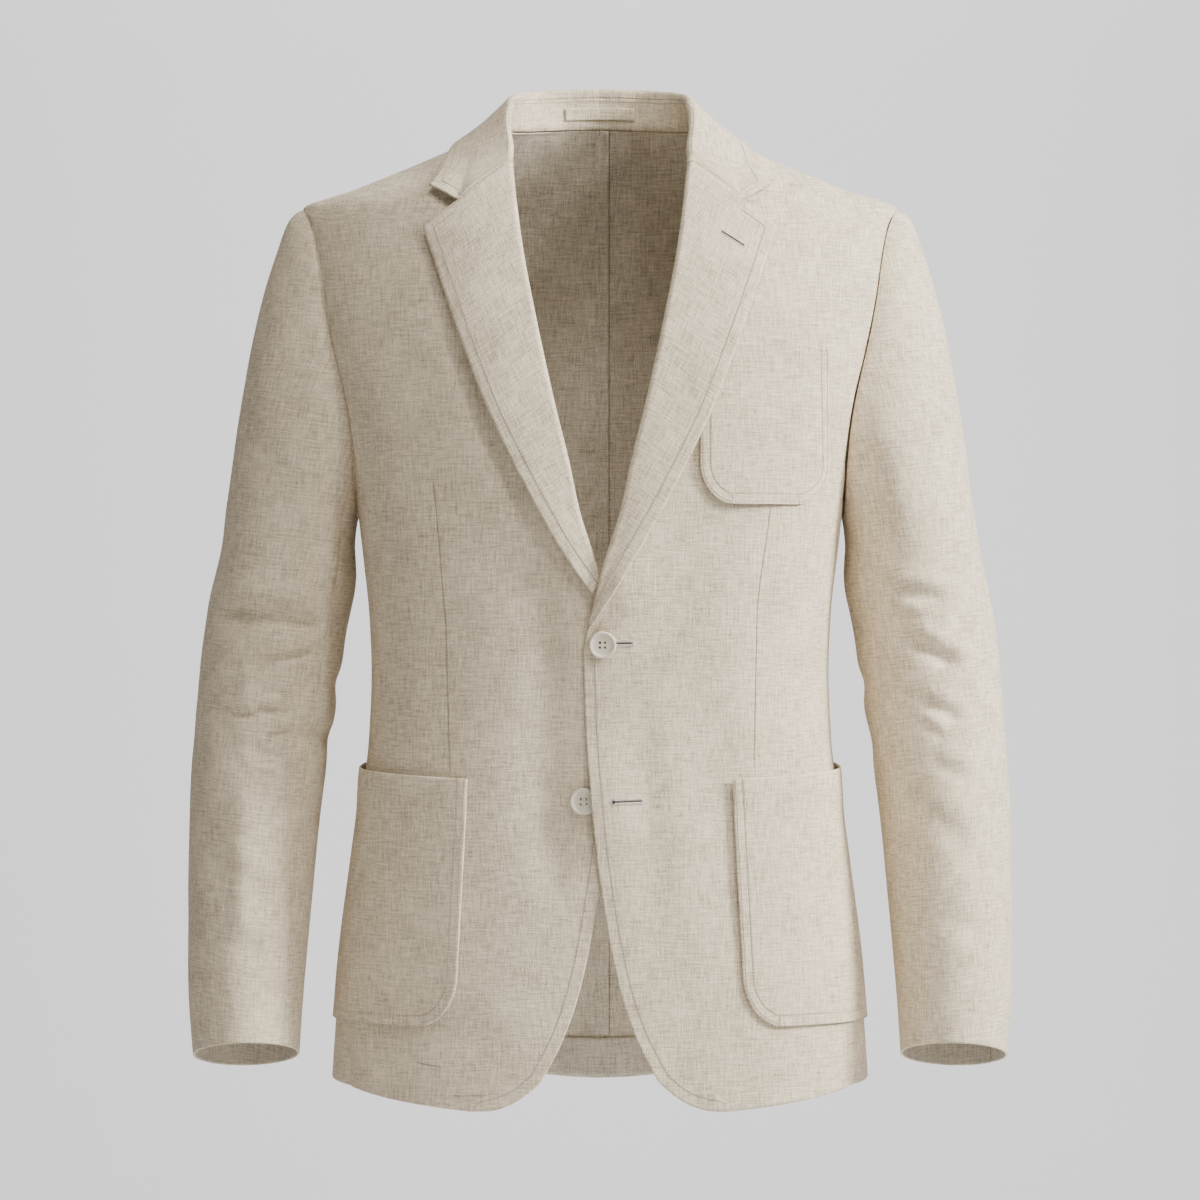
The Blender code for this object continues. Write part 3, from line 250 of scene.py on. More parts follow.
# Largest folds of the sleeves: section number, angle from the outer side
# towards the front, reach along, reach round, lean, depth.
LEFT_FOLDS = (
    (9.0, 60, 0.45, 60, 0.010, 0.0045),
    (10.6, 30, 0.40, 55, -0.012, 0.0050),
    (12.0, 95, 0.45, 50, 0.010, 0.0035),
    (13.6, 40, 0.50, 45, 0.008, 0.0025),
    (9.8, 200, 0.50, 45, 0.000, 0.0040),
    (11.6, 215, 0.50, 40, 0.000, 0.0035),
)
RIGHT_FOLDS = (
    (8.8, 50, 0.50, 65, 0.006, 0.0050),
    (10.1, 80, 0.35, 60, -0.006, 0.0045),
    (11.6, 60, 0.40, 50, 0.010, 0.0030),
    (13.0, 70, 0.40, 55, -0.010, 0.0030),
    (14.6, 60, 0.50, 45, 0.012, 0.0025),
    (9.8, 200, 0.50, 45, 0.000, 0.0040),
    (11.6, 215, 0.50, 40, 0.000, 0.0035),
)

# Hip pocket: its corners on the body.
POCKET_TOP = (-0.4990, -0.4915)    # height of the mouth at its front and side
POCKET_FOOT = -0.6835
POCKET_FRONT = (0.0985, 0.1085)    # distance from the centre at mouth and foot
POCKET_SIDE = 98.0                 # degrees, just behind the side
POCKET_CORNER = (0.20, 0.16)       # of its height and width, taken by a round corner
POCKET_CLEAR = 0.0011              # between pocket and front
POCKET_PROUD = 0.0030              # the mouth stands off this much more
POCKET_COLUMNS = 8
POCKET_ROWS = 10

# Chest pocket.
CHEST_TOP = -0.174
CHEST_FOOT = -0.2935
CHEST_INNER = 0.0745
CHEST_OUTER = 0.1705
CHEST_CORNER = (0.26, 0.28)
CHEST_CLEAR = 0.0009
CHEST_COLUMNS = 6
CHEST_ROWS = 8

STRIP = 0.0010                     # wall of the strips inside
TURNUP = 0.031                     # height of the turned-up hem
TURNUP_CLEAR = 0.0012              # between turn-up and back
ALLOWANCE_EDGES = (0.0065, -0.0035)   # across the centre back
ALLOWANCE_CLEAR = 0.0009
HANGER_HALF_LENGTH = 0.029
HANGER_EDGES = (0.25, 0.58)        # shares of the height of the stand
HANGER_WALL = 0.0008
HANGER_CLEAR = 0.0006
STAND_RADIUS = 0.063               # of the stand at the back of the neck


# ------------------------------------------------------- sizes of the looks ----
FRONT_FINE = (6, 10)      # cells of the fine cloth in one cell of the solid's grid
SIDE_FINE = (7, 10)
BACK_FINE = (7, 9)
SLEEVE_FINE = (7, 11)
SHOULDER_PASSES = 8       # how often, over how many rows and how high it is eased
SHOULDER_STRIDE = 5
SHOULDER_REACH = 0.034
SHOULDER_FADE_TOP = 0.012 # below the neck, over which the easing fades
EDGE_FADE = 0.03          # over which creases fade towards an edge
FRONT_EDGE_FADE = 0.035
CUFF_FADE = 0.02
FOOT_ROWS = 6             # over which a front's rounded foot runs out upwards
FOOT_BEND = 1.5           # how late the hem turns up from that foot to the side
EDGE_LINES = (0.05, 0.13) # extra lines of the fine grid close to an edge
SEAM_DIP = 0.0006         # the cloth draws in this much at a seam
SEAM_REACH = 0.0022
SEAM_HALF = 0.0009        # half width of the painted shade in a seam's groove
SEAM_SHOWS = 0.55         # strength of the painted shade in the stitched grooves, with darts at 1
DART_HALF = 0.006         # reach from a dart within which its painted shade is at full strength
WEAVE_PER_METRE = 4000.0  # phase of the weave's waves, in radians

# Where in the weave each kind of piece starts, in metres, so that no two match.
BOLT = {
    "panel": 0.4, "folded": 1.3, "top": 2.0, "under": 2.6, "pocket": 3.1, "strip": 4.2,
    "chest": 5.3,
}

RIM_BULGE = 0.40          # of the thickness, where a free edge is rounded

THREAD = 0.00024          # radius of the sewing thread
STITCH = 0.0019           # length of a stitch, and from one to the next
STITCH_PITCH = 0.0025
NEEDLE_HOLE = 0.00040     # radius of the dark dot painted as the shade in the needle hole between two stitches
EDGE_STITCH = 0.0080      # of the stitching inside an edge
LEAF_STITCH = 0.0078
POCKET_STITCH = 0.0074
POCKET_EDGE_STITCH = 0.0018
STAND_STITCH = 0.0215     # of the row round the stand, above its seam
# painted shade of a groove round the stand, this far up from its seam
STAND_GROOVE = 0.0240
FRONT_STITCH_END = 0.108  # across, where the front's stitching ends on the hem
WHIP_THREAD = 0.00029     # threads over the edges of the buttonholes
WHIP_PITCH = 0.0010
WHIP_START = 0.0008       # from the middle of the slit
SLIT_HALF = 0.00052
HOLE_HALF = 0.0026
LEAF_STANDS_OFF = 0.0030  # of a lapel's edge, at the middle of its length
LAPEL_HOLE_HALF = 0.0013
SLIT_RISE = 0.00012       # of the dark strip painted as the slit's shade, over the cloth
ALLOWANCE_SHADOW_OFFSET = 0.0006 # of the painted shadow line beside the centre back allowance's edge
STITCH_SHAPE = ((0, -0.5), (0.16, 0.55), (0.5, 0.75), (0.84, 0.55), (1, -0.5))
WHIP_SHAPE = ((0, 0.0001), (0.2, 0.0004), (0.6, 0.0004), (0.9, 0.0002), (1, -0.0003))

# Outline of a button from its back over its rim to its dished face: share of
# its radius, share of its thickness.
DISC_SIDES = 64
DISC_PROFILE = (
    (0.66, 0.0), (0.86, 0.04), (0.95, 0.16), (0.995, 0.40), (1.0, 0.60), (0.985, 0.80),
    (0.945, 0.95), (0.90, 1.0), (0.85, 0.985), (0.80, 0.92), (0.745, 0.80), (0.69, 0.73),
    (0.60, 0.69), (0.45, 0.665), (0.30, 0.66),
)

# Sign of X on each side of the wearer, and its name.
SIDES = ((1, "left"), (-1, "right"))

# Buttonholes as seen along Y: x and z of each end.
TOP_HOLE = ((0.0110, -0.3973), (0.0236, -0.3973))
LOW_HOLE = ((0.0102, -0.5152), (0.0312, -0.5146))
LAPEL_HOLE = ((0.0911, -0.0892), (0.1078, -0.0999))

# Short rows of tacking: piece, then x and z of each end.
TACKS = (
    ("cloth_front_right", (-0.1360, -0.7105), (-0.1158, -0.7138)),
    ("cloth_front_right", (-0.1085, -0.7345), (-0.0830, -0.7335)),
    ("cloth_side_right", (-0.1930, -0.7000), (-0.1850, -0.7010)),
    ("cloth_side_left", (0.1880, -0.7010), (0.1935, -0.7000)),
)

# Creases, as seen along Y: start x and z, end x and z, bow to its left,
# half width, depth of the trough, height of the ridge on its left.  All in mm.
RIGHT_SLEEVE_CREASES = (
    (-296, -374, -210, -382, 1, 9.0, 6.1, 3.5),
    (-240, -380, -212, -384, 0, 4.0, 2.9, 1.2),
    (-294, -409, -214, -385, 5, 8.0, -3.2, 0.0),
    (-290, -414, -240, -408, 0, 5.0, 2.3, 0.9),
    (-256, -408, -212, -402, -1, 3.0, 4.9, 1.7),
    (-267, -404, -268, -450, 0, 7.0, -2.3, 0.0),
    (-266, -417, -247, -418, 0, 2.6, 1.6, 0.7),
    (-254, -432, -236, -440, 1, 4.0, 1.4, 0.7),
    (-284, -450, -257, -451, -1, 3.4, 3.2, 1.4),
    (-263, -449, -233, -451, 2, 3.2, 3.5, 1.4),
    (-257, -466, -231, -464, 0, 2.6, 3.8, 1.2),
    (-236, -465, -200, -472, 0, 7.0, 2.6, 1.2),
    (-264, -472, -250, -490, 0, 8.0, 2.6, 0.0),
    (-260, -496, -244, -499, 0, 3.0, 2.3, 1.0),
    (-267, -500, -273, -640, 0, 10.0, -2.6, 0.0),
    (-296, -560, -252, -579, -3, 9.0, 1.7, 0.9),
    (-284, -622, -240, -636, 2, 10.0, 1.7, 0.9),
    (-262, -240, -238, -300, 6, 12.0, 2.0, 0.9),
)
LEFT_SLEEVE_CREASES = (
    (198, -216, 222, -335, -6, 12.0, 2.2, 1.7),
    (210, -352, 266, -363, -2, 5.5, 3.4, 1.9),
    (227, -391, 277, -416, -1, 6.5, 5.3, 2.9),
    (222, -376, 246, -380, 0, 4.0, 1.4, 0.7),
    (240, -440, 276, -457, 1, 5.0, 3.1, 1.4),
    (224, -438, 250, -430, -2, 5.0, 1.7, 1.0),
    (236, -458, 262, -470, 1, 4.0, 1.9, 1.0),
    (248, -484, 286, -500, -3, 6.0, 1.9, 1.1),
    (236, -520, 280, -555, 3, 9.0, 1.9, 1.0),
    (250, -590, 290, -620, -3, 10.0, 1.4, 0.7),
)
SLEEVE_BACK_CREASES = (
    (236, -300, 292, -318, 4, 9.0, 2.0, 1.0),
    (228, -352, 286, -372, -4, 7.0, 3.0, 1.6),
    (236, -398, 298, -404, 3, 8.0, 3.4, 1.6),
    (240, -440, 292, -430, -3, 6.0, 2.0, 1.0),
    (252, -478, 300, -492, 3, 8.0, 1.8, 0.8),
    (240, -550, 286, -572, -4, 10.0, 1.2, 0.6),
    (262, -180, 246, -262, 5, 12.0, 1.4, 0.7),
)
BODY_FRONT_CREASES = (
    (-168, -250, -20, -392, 10, 26.0, 2.2, 1.6),
    (-150, -380, -26, -404, 4, 16.0, 1.2, 0.8),
    (-60, -430, -24, -600, -6, 14.0, 1.2, 0.8),
    (-174, -150, -120, -250, 8, 20.0, 1.6, 1.0),
    (168, -240, 20, -388, -10, 26.0, 2.0, 1.4),
    (60, -420, 110, -640, 10, 20.0, 1.6, 1.2),
    (140, -360, 60, -420, -4, 16.0, 1.0, 0.8),
    (170, -150, 116, -240, -8, 20.0, 1.4, 1.0),
    (20, -410, 44, -640, 5, 12.0, 0.9, 0.8),
    (-140, -690, -60, -700, 5, 14.0, 0.9, 0.5),
    (-122, -130, -40, -345, 0, 13.0, 3.2, 0.6),
    (-52, -310, -34, -590, 4, 15.0, 3.6, 1.0),
)
BODY_BACK_CREASES = (
    (-176, -200, -30, -330, 12, 24.0, 2.6, 1.6),
    (170, -190, 24, -322, -12, 22.0, 2.2, 1.6),
    (-150, -400, -10, -412, 6, 14.0, 1.8, 1.4),
    (12, -418, 140, -404, 5, 13.0, 1.6, 1.4),
    (-110, -430, -96, -690, 6, 18.0, 2.0, 1.8),
    (104, -436, 118, -700, -6, 18.0, 2.0, 1.8),
    (-70, -110, 60, -122, 6, 20.0, 1.6, 0.8),
)

# Darts of the fronts: x and z where they start, bend and end.
DARTS = {
    -1: ((-0.1250, -0.2790), (-0.1160, -0.3780), (-0.1125, -0.4920)),
    1: ((0.1270, -0.2960), (0.1170, -0.3720), (0.1145, -0.4850)),
}


# ------------------------------------------------------------ small maths ----
def hermite(start, end, slope_start, slope_end, t):
    """Smooth curve from start to end, with a slope at each."""
    return (
        start * (2 * t**3 - 3 * t**2 + 1)
        + slope_start * (t**3 - 2 * t**2 + t)
        + end * (3 * t**2 - 2 * t**3)
        + slope_end * (t**3 - t**2)
    )


def smooth_curve(pairs):
    """A smooth function through rows of (key, value), monotone between rows."""
    keys, values = np.array(pairs, float).T
    slopes = np.diff(values) / np.diff(keys)
    tangents = np.zeros(len(keys))
    tangents[0] = slopes[0]
    tangents[-1] = slopes[-1]
    for i in range(1, len(keys) - 1):
        before, after = slopes[i - 1], slopes[i]
        if before * after > 0:
            tangents[i] = 2 * before * after / (before + after)

    def value_at(key):
        key = np.clip(key, keys[0], keys[-1])
        i = np.clip(np.searchsorted(keys, key, side="right") - 1, 0, len(keys) - 2)
        span = keys[i + 1] - keys[i]
        t = (key - keys[i]) / span
        return hermite(values[i], values[i + 1], tangents[i] * span, tangents[i + 1] * span, t)

    return value_at


def column(table, key, value):
    return smooth_curve([(row[key], row[value]) for row in table])


def mix(a, b, t):
    return a + (b - a) * t


def ease(t):
    t = np.clip(t, 0.0, 1.0)
    return t * t * (3 - 2 * t)


def bump(distance, reach):
    return np.exp(-((distance / reach) ** 2))


def unit(vectors):
    return vectors / np.maximum(np.linalg.norm(vectors, axis=-1, keepdims=True), 1e-12)


def resample(values, where, axis):
    """Smooth values at fractional places along an axis of a grid."""
    rows = np.moveaxis(np.asarray(values, float), axis, 0)
    step = np.diff(rows, axis=0)
    product = step[:-1] * step[1:]
    total = np.where(product > 0, step[:-1] + step[1:], 1.0)
    slope = np.concatenate([step[:1], np.where(product > 0, 2 * product / total, 0.0), step[-1:]])
    low = np.clip(where.astype(int), 0, len(rows) - 2)
    t = (where - low).reshape((-1,) + (1,) * (rows.ndim - 1))
    found = hermite(rows[low], rows[low + 1], slope[low], slope[low + 1], t)
    return np.moveaxis(found, 0, axis)


def places(cells, steps):
    """Fractional places along a grid's side, closer at its two ends."""
    even = np.linspace(0, cells, cells * steps + 1)
    near = np.array(EDGE_LINES)
    return np.unique(np.concatenate([even, near, cells - near]))


def finer(rows, steps):
    """A domain of (angle, height) rows with steps cells for each of its own."""
    grid = np.array(rows, float)
    grid = resample(grid, places(grid.shape[0] - 1, steps[1]), 0)
    return resample(grid, places(grid.shape[1] - 1, steps[0]), 1)


# ------------------------------------------------------------------- body ----
half_width_at = column(BODY, 0, 1)
front_depth_at = column(BODY, 0, 2)
back_depth_at = column(BODY, 0, 3)
squareness_at = column(BODY, 0, 4)
front_edge_at = column(FRONT_EDGE, 0, 1)
roll_line_at = column(ROLL_LINE, 0, 1)
lapel_edge_at = column(LAPEL_EDGE, 0, 1)
foot_x_at = column(FRONT_FOOT, 0, 1)
foot_height_at = column(FRONT_FOOT, 0, 2)


def body_point(angle, height):
    """Outer face of the body, by angle from the front towards +X, and height."""
    square = squareness_at(height)
    depth = np.where(np.cos(angle) > 0, front_depth_at(height), back_depth_at(height))
    across = np.abs(np.sin(angle)) / half_width_at(height)
    along = np.abs(np.cos(angle)) / depth
    radius = (across**square + along**square) ** (-1 / square)
    parts = np.broadcast_arrays(radius * np.sin(angle), -radius * np.cos(angle), height)
    return np.stack(parts, -1)


def body_normal(angle, height):
    step = 0.004
    round_way = body_point(angle + step, height) - body_point(angle - step, height)
    up_way = body_point(angle, height + step / 4) - body_point(angle, height - step / 4)
    return unit(np.cross(round_way, up_way))


def angle_at_x(x, height):
    """Angle of the front point that lies x out from the centre."""
    square = squareness_at(height)
    share = np.minimum(np.abs(x) / half_width_at(height), 1.0)
    forward = front_depth_at(height) * (1 - share**square) ** (1 / square)
    return np.arctan2(x, forward)


def angle_at_y(forward, height):
    """Angle of the side point that lies forward (minus: behind) of the middle."""
    square = squareness_at(height)
    depth = np.where(forward > 0, front_depth_at(height), back_depth_at(height))
    share = np.minimum(np.abs(forward) / depth, 1.0)
    out = half_width_at(height) * (1 - share**square) ** (1 / square)
    return np.arctan2(out, forward)


def armhole(turn):
    """Angle and height on the armhole; turn runs from the tip over the front."""
    middle = (SHOULDER_TIP + ARMHOLE_LOW) / 2
    height = middle + (SHOULDER_TIP - ARMHOLE_LOW) / 2 * np.cos(turn)
    ahead = ARMHOLE_FRONT * np.sin(turn) * (1 - 0.25 * np.cos(turn))
    behind = ARMHOLE_BACK * np.sin(turn) * (1 - 0.12 * np.cos(turn))
    return angle_at_y(np.where(np.sin(turn) >= 0, ahead, behind), height), height


def armhole_turn(height, behind):
    """Turn of the armhole point at a height, before or behind the shoulder."""
    middle = (SHOULDER_TIP + ARMHOLE_LOW) / 2
    share = (height - middle) / ((SHOULDER_TIP - ARMHOLE_LOW) / 2)
    turn = math.acos(min(max(share, -1.0), 1.0))
    return -turn if behind else turn


def seam_to_armhole(table, behind):
    """A side panel's seam in degrees by height, ending on the armhole."""
    hole, _ = armhole(armhole_turn(SIDE_TOP, behind))
    return smooth_curve(table + ((SIDE_TOP, math.degrees(hole)),))


side_front_at = seam_to_armhole(SIDE_FRONT_SEAM, False)
side_back_at = seam_to_armhole(SIDE_BACK_SEAM, True)


def hem_height(angle):
    return HEM + HEM_RISE * np.sin(angle) ** 2


def overlap_lift(point):
    """How far the left front stands off to pass over the right one."""
    x, z = point[..., 0], point[..., 2]
    near_edge = 1 - ease((x - OVERLAP_EDGE) / OVERLAP_FADE)
    at_break = BREAK_RISE * bump(z - BREAK_RISE_HEIGHT, BREAK_RISE_REACH)
    at_button = BUTTON_RISE * bump(z - BUTTON_HEIGHTS[1], BUTTON_RISE_REACH)
    at_button = at_button * (1 - ease((x + SEAM_GAP) / BUTTON_RISE_FADE))
    return near_edge * (OVERLAP + at_break) + at_button


def front_point(angle, height, side, lift=0.0):
    """Outer face of a front: side is 1 for the wearer's left, -1 for the right."""
    point = body_point(angle, height)
    normal = body_normal(angle, height)
    extra = overlap_lift(point) if side > 0 else 0.0
    point = point + normal * np.asarray(extra + lift)[..., None]
    mirror = np.array([side, 1, 1])
    return point * mirror, normal * mirror


# ------------------------------------------------------------ body panels ----
def fold_x_at(height):
    """Across, to the front edge, and above the break to the lapel's fold."""
    return front_edge_at(height) if height < BREAK else roll_line_at(height)


def front_outline(share):
    """Front edge, roll line and neck of a front, from foot to neck point."""
    height = mix(FRONT_EDGE[0][0], NECK_POINT, share)
    return angle_at_x(fold_x_at(height), height), height


def outer_heights():
    """Heights of the rows along the side seam, armhole and shoulder seam."""
    foot = hem_height(math.radians(SIDE_FRONT_SEAM[0][1]))
    heights = [mix(foot, SIDE_TOP, i / ROWS_BELOW_ARM) for i in range(ROWS_BELOW_ARM + 1)]
    first_turn = armhole_turn(SIDE_TOP, False)
    heights += [armhole(first_turn * (1 - (i + 1) / ROWS_AT_ARM))[1] for i in range(ROWS_AT_ARM)]
    heights += [
        mix(SHOULDER_TIP, NECK_POINT, (i + 1) / ROWS_ON_SHOULDER) for i in range(ROWS_ON_SHOULDER)
    ]
    return heights


def outer_outline(height, behind):
    """Angle of the shoulder seam, armhole or side seam at a height."""
    if height >= SHOULDER_TIP:
        return math.pi / 2
    if height <= SIDE_TOP:
        seam_at = side_back_at if behind else side_front_at
        return math.radians(seam_at(height))
    return armhole(armhole_turn(height, behind))[0]


def shares_of(heights):
    return [(height - heights[0]) / (heights[-1] - heights[0]) for height in heights]


def front_domain():
    """Angles and heights of the grid of a front, row by row."""
    heights = outer_heights()
    rows = []
    for share, outer_height in zip(shares_of(heights), heights):
        inner = front_outline(share)
        outer = (outer_outline(outer_height, False), outer_height)
        across = [i / FRONT_COLUMNS for i in range(FRONT_COLUMNS + 1)]
        rows.append([[mix(inner[k], outer[k], t) for k in (0, 1)] for t in across])
    foot = front_outline(0.0)
    side = (outer_outline(heights[0], False), heights[0])
    last_share, last_x, last_height = FRONT_FOOT[-1]
    for i in range(FRONT_COLUMNS + 1):
        across = i / FRONT_COLUMNS
        if across <= last_share:
            height = foot_height_at(across)
            angle = angle_at_x(foot_x_at(across), height)
        else:
            t = (across - last_share) / (1 - last_share)
            angle = mix(angle_at_x(last_x, last_height), side[0], t)
            height = mix(last_height, side[1], t**FOOT_BEND)
        for k, value in enumerate((angle, height)):
            shift = value - mix(foot[k], side[k], across)
            for j in range(FOOT_ROWS):
                rows[j][i][k] += shift * (1 - j / FOOT_ROWS)
    return rows


def side_domain():
    """Panel under the arm, up to the lower part of the armhole."""
    start = armhole_turn(SIDE_TOP, False)
    end = 2 * math.pi + armhole_turn(SIDE_TOP, True)
    heights = outer_heights()[: ROWS_BELOW_ARM + 1]
    rows = []
    for j, height in enumerate(heights):
        front_angle = math.radians(side_front_at(height))
        back_angle = math.radians(side_back_at(height))
        lean = ease(j / ROWS_BELOW_ARM * 3 - 2)
        row = []
        for i in range(SIDE_COLUMNS + 1):
            across = i / SIDE_COLUMNS
            angle = mix(front_angle, back_angle, across)
            hem_shift = hem_height(angle) - heights[0]
            hole_angle, hole_height = armhole(mix(start, end, across))
            if 0 < i < SIDE_COLUMNS:
                angle = mix(angle, hole_angle, lean)
            low = hem_shift * (1 - j / ROWS_BELOW_ARM)
            row.append([angle, height + low + (hole_height - SIDE_TOP) * lean])
        rows.append(row)
    return rows


def back_domain():
    """Angles and heights of the grid of a back half, row by row."""
    heights = outer_heights()
    rows = []
    for share, outer_height in zip(shares_of(heights), heights):
        centre_height = mix(HEM, BACK_NECK, share)
        outer_angle = outer_outline(outer_height, True)
        across = [i / BACK_COLUMNS for i in range(BACK_COLUMNS + 1)]
        rows.append([
            [mix(outer_angle, math.pi, t), mix(outer_height, centre_height, ease(t))]
            for t in across
        ])
    return rows


# -------------------------------------------------------------- fine cloth ----
def grid_normals(grid):
    """Normals of a grid of points, from its neighbours' differences."""
    across = np.gradient(grid, axis=1)
    along = np.gradient(grid, axis=0)
    return unit(np.cross(across, along))


def lengths(grid, axis):
    """Distance run along an axis of a grid, from its first line."""
    step = np.linalg.norm(np.diff(grid, axis=axis), axis=-1)
    start = np.zeros_like(np.take(step, [0], axis=axis))
    return np.concatenate([start, np.cumsum(step, axis=axis)], axis=axis)


def from_edges(grid):
    """How far each point of a grid is from its four edges, along the cloth."""
    along = lengths(grid, 0)
    across = lengths(grid, 1)
    return {
        "foot": along,
        "top": along[-1:] - along,
        "first": across,
        "last": across[:, -1:] - across,
    }


def faded(values, grid, **reaches):
    """Values that fade out towards the named edges, so that panels still meet."""
    away = from_edges(grid)
    for edge, reach in reaches.items():
        values = values * ease(away[edge] / reach)
    return values


def creases(grid, table, flip=1):
    """Height of the cloth over its plain form, from a table of creases."""
    x = grid[..., 0] * 1000 * flip
    z = grid[..., 2] * 1000
    total = np.zeros(x.shape)
    for x1, z1, x2, z2, bow, width, trough, ridge in table:
        length = math.hypot(x2 - x1, z2 - z1)
        dx = (x2 - x1) / length
        dz = (z2 - z1) / length
        along = ((x - x1) * dx + (z - z1) * dz) / length
        off = (z - z1) * dx - (x - x1) * dz - bow * (1 - (2 * along - 1) ** 2)
        fade = ease(along / 0.35 + 0.15) * ease((1 - along) / 0.35 + 0.15)
        total += fade * (ridge * bump(off - 1.7 * width, 1.3 * width) - trough * bump(off, width))
    return total / 1000


def creased(base, normals, front_table, back_table, flip):
    """Lift of a panel's creases: one table where it looks ahead, one behind."""
    ahead = ease((0.25 - normals[..., 1]) / 0.5)
    lift = creases(base, front_table) * ahead
    return lift + creases(base, back_table, flip) * (1 - ahead)


def seam_dip(grid, edges):
    """How far the cloth draws in near its sewn edges."""
    away = from_edges(grid)
    dip = np.zeros(grid.shape[:2])
    for edge in edges:
        dip = np.maximum(dip, bump(away[edge], SEAM_REACH))
    return dip * SEAM_DIP


def round_shoulder(grid):
    """Eases the bend at the top of the shoulder, away from a panel's edges."""
    smooth = grid
    far = SHOULDER_STRIDE
    for _ in range(SHOULDER_PASSES):
        padded = np.pad(smooth, ((far, far), (0, 0), (0, 0)), "edge")
        smooth = (padded[:-2 * far] + 2 * smooth + padded[2 * far:]) / 4
    share = bump(grid[..., 2] - SHOULDER_TIP, SHOULDER_REACH)
    share = faded(share, grid, top=SHOULDER_FADE_TOP, last=EDGE_FADE, first=EDGE_FADE)
    return mix(grid, smooth, share[..., None])


def new_object(name, points, faces, finish):
    mesh = bpy.data.meshes.new(name)
    mesh.from_pydata(np.asarray(points).tolist(), [], faces)
    mesh.shade_smooth()
    made = bpy.data.objects.new(name, mesh)
    mesh.materials.append(finish)
    bpy.context.scene.collection.objects.link(made)
    return made


def border(rows, wide):
    """Numbers of a grid's border points, in the order of its faces' edges."""
    first = list(range(wide))
    last = [j * wide + wide - 1 for j in range(1, rows)]
    top = [(rows - 1) * wide + i for i in range(wide - 2, -1, -1)]
    back = [j * wide for j in range(rows - 2, 0, -1)]
    return np.array(first + last + top + back)


def shell(name, outer, normals, thick, grain, finish, flip=False, rim=RIM_BULGE,
          line=None, inner_line=None, deep=None):
    """Thin cloth: outer and inner faces, and a rounded rim between them."""
    rows, wide = outer.shape[:2]
    thick = np.broadcast_to(thick, (rows, wide))[..., None]
    inner = outer - normals * thick
    ring = border(rows, wide)
    flat_outer = outer.reshape(-1, 3)
    flat_inner = inner.reshape(-1, 3)
    middle = (flat_outer[ring] + flat_inner[ring]) / 2
    ahead = unit(np.roll(middle, -1, 0) - np.roll(middle, 1, 0))
    away = unit(np.cross(ahead, normals.reshape(-1, 3)[ring]))
    if flip:
        away = -away
    middle = middle + away * thick.reshape(-1, 1)[ring] * rim
    points = np.concatenate([flat_outer, flat_inner, middle])
    number = np.arange(rows * wide).reshape(rows, wide)
    a, b = number[:-1, :-1].ravel(), number[:-1, 1:].ravel()
    c, d = number[1:, 1:].ravel(), number[1:, :-1].ravel()
    back = rows * wide
    rim_at = 2 * back + np.arange(len(ring))
    after = np.roll(ring, -1)
    rim_after = np.roll(rim_at, -1)
    faces = np.concatenate([
        np.stack([a, b, c, d], -1),
        np.stack([a, d, c, b], -1) + back,
        np.stack([after, ring, rim_at, rim_after], -1),
        np.stack([rim_after, rim_at, ring + back, after + back], -1),
    ])
    if flip:
        faces = faces[:, ::-1]
    made = new_object(name, points, faces.tolist(), finish)

    weave = np.zeros((len(points), 3), np.float32)
    weave[:, :2] = grain.reshape(-1, 2)[np.concatenate([number.ravel(), number.ravel(), ring])]
    # seam: distance to a seam line, where the material paints shade in its groove; deep: where that
    # painted shade is at full strength; inside: the inner faces, which the material paints darker
    # as shade.
    seam = np.ones(len(points), np.float32)
    full_seam_shade, within = np.zeros((2, len(points)), np.float32)
    within[back:2 * back] = 1
    if line is not None:
        seam[:back] = line.ravel()
    if deep is not None:
        full_seam_shade[:back] = deep.ravel()
    if inner_line is not None:
        seam[back:2 * back] = inner_line.ravel()
        full_seam_shade[back:2 * back] = 1
    kept = made.data.attributes.new("grain", "FLOAT_VECTOR", "POINT")
    kept.data.foreach_set("vector", weave.ravel())
    for key, values in (("seam", seam), ("deep", full_seam_shade), ("inside", within)):
        kept = made.data.attributes.new(key, "FLOAT", "POINT")
        kept.data.foreach_set("value", values)
    return made


def faces_of(made):
    """A tree of a piece's faces, to lay things on."""
    mesh = made.data
    points = [tuple(v.co) for v in mesh.vertices]
    return BVHTree.FromPolygons(points, [tuple(p.vertices) for p in mesh.polygons])


ARC_HEIGHTS = np.linspace(-0.80, 0.02, 83)
ARC_ANGLES = np.linspace(0, math.pi, 181)
ARCS = lengths(body_point(*np.meshgrid(ARC_ANGLES, ARC_HEIGHTS)), 1)


def arc_at(angle, height):
    """Length round the body from the centre front, at one height."""
    down = (height - ARC_HEIGHTS[0]) / (ARC_HEIGHTS[1] - ARC_HEIGHTS[0])
    round_ = np.abs(angle) / ARC_ANGLES[1]
    down, round_ = np.broadcast_arrays(down, round_)
    i = np.clip(down.astype(int), 0, len(ARC_HEIGHTS) - 2)
    k = np.clip(round_.astype(int), 0, len(ARC_ANGLES) - 2)
    near = mix(ARCS[i, k], ARCS[i, k + 1], round_ - k)
    far = mix(ARCS[i + 1, k], ARCS[i + 1, k + 1], round_ - k)
    return np.sign(angle) * mix(near, far, down - i)


def body_grain(angle, height, side, start, plumb=0.0):
    """Places in the weave: threads run level, and straight down at one angle."""
    across = (arc_at(angle, height) - arc_at(plumb, height) + start) * side
    return np.stack([across, np.broadcast_to(height, across.shape)], -1)


def dart_line(grid, side):
    """Distance from a front's dart, signed, and large beyond its ends."""
    points = DARTS[side]
    curve = smooth_curve([(z, x) for x, z in points[::-1]])
    z = grid[..., 2]
    off = grid[..., 0] - curve(z)
    beyond = np.maximum(z - points[0][1], points[-1][1] - z)
    return np.where(beyond > 0, off + np.sign(off + 1e-9) * beyond, off)


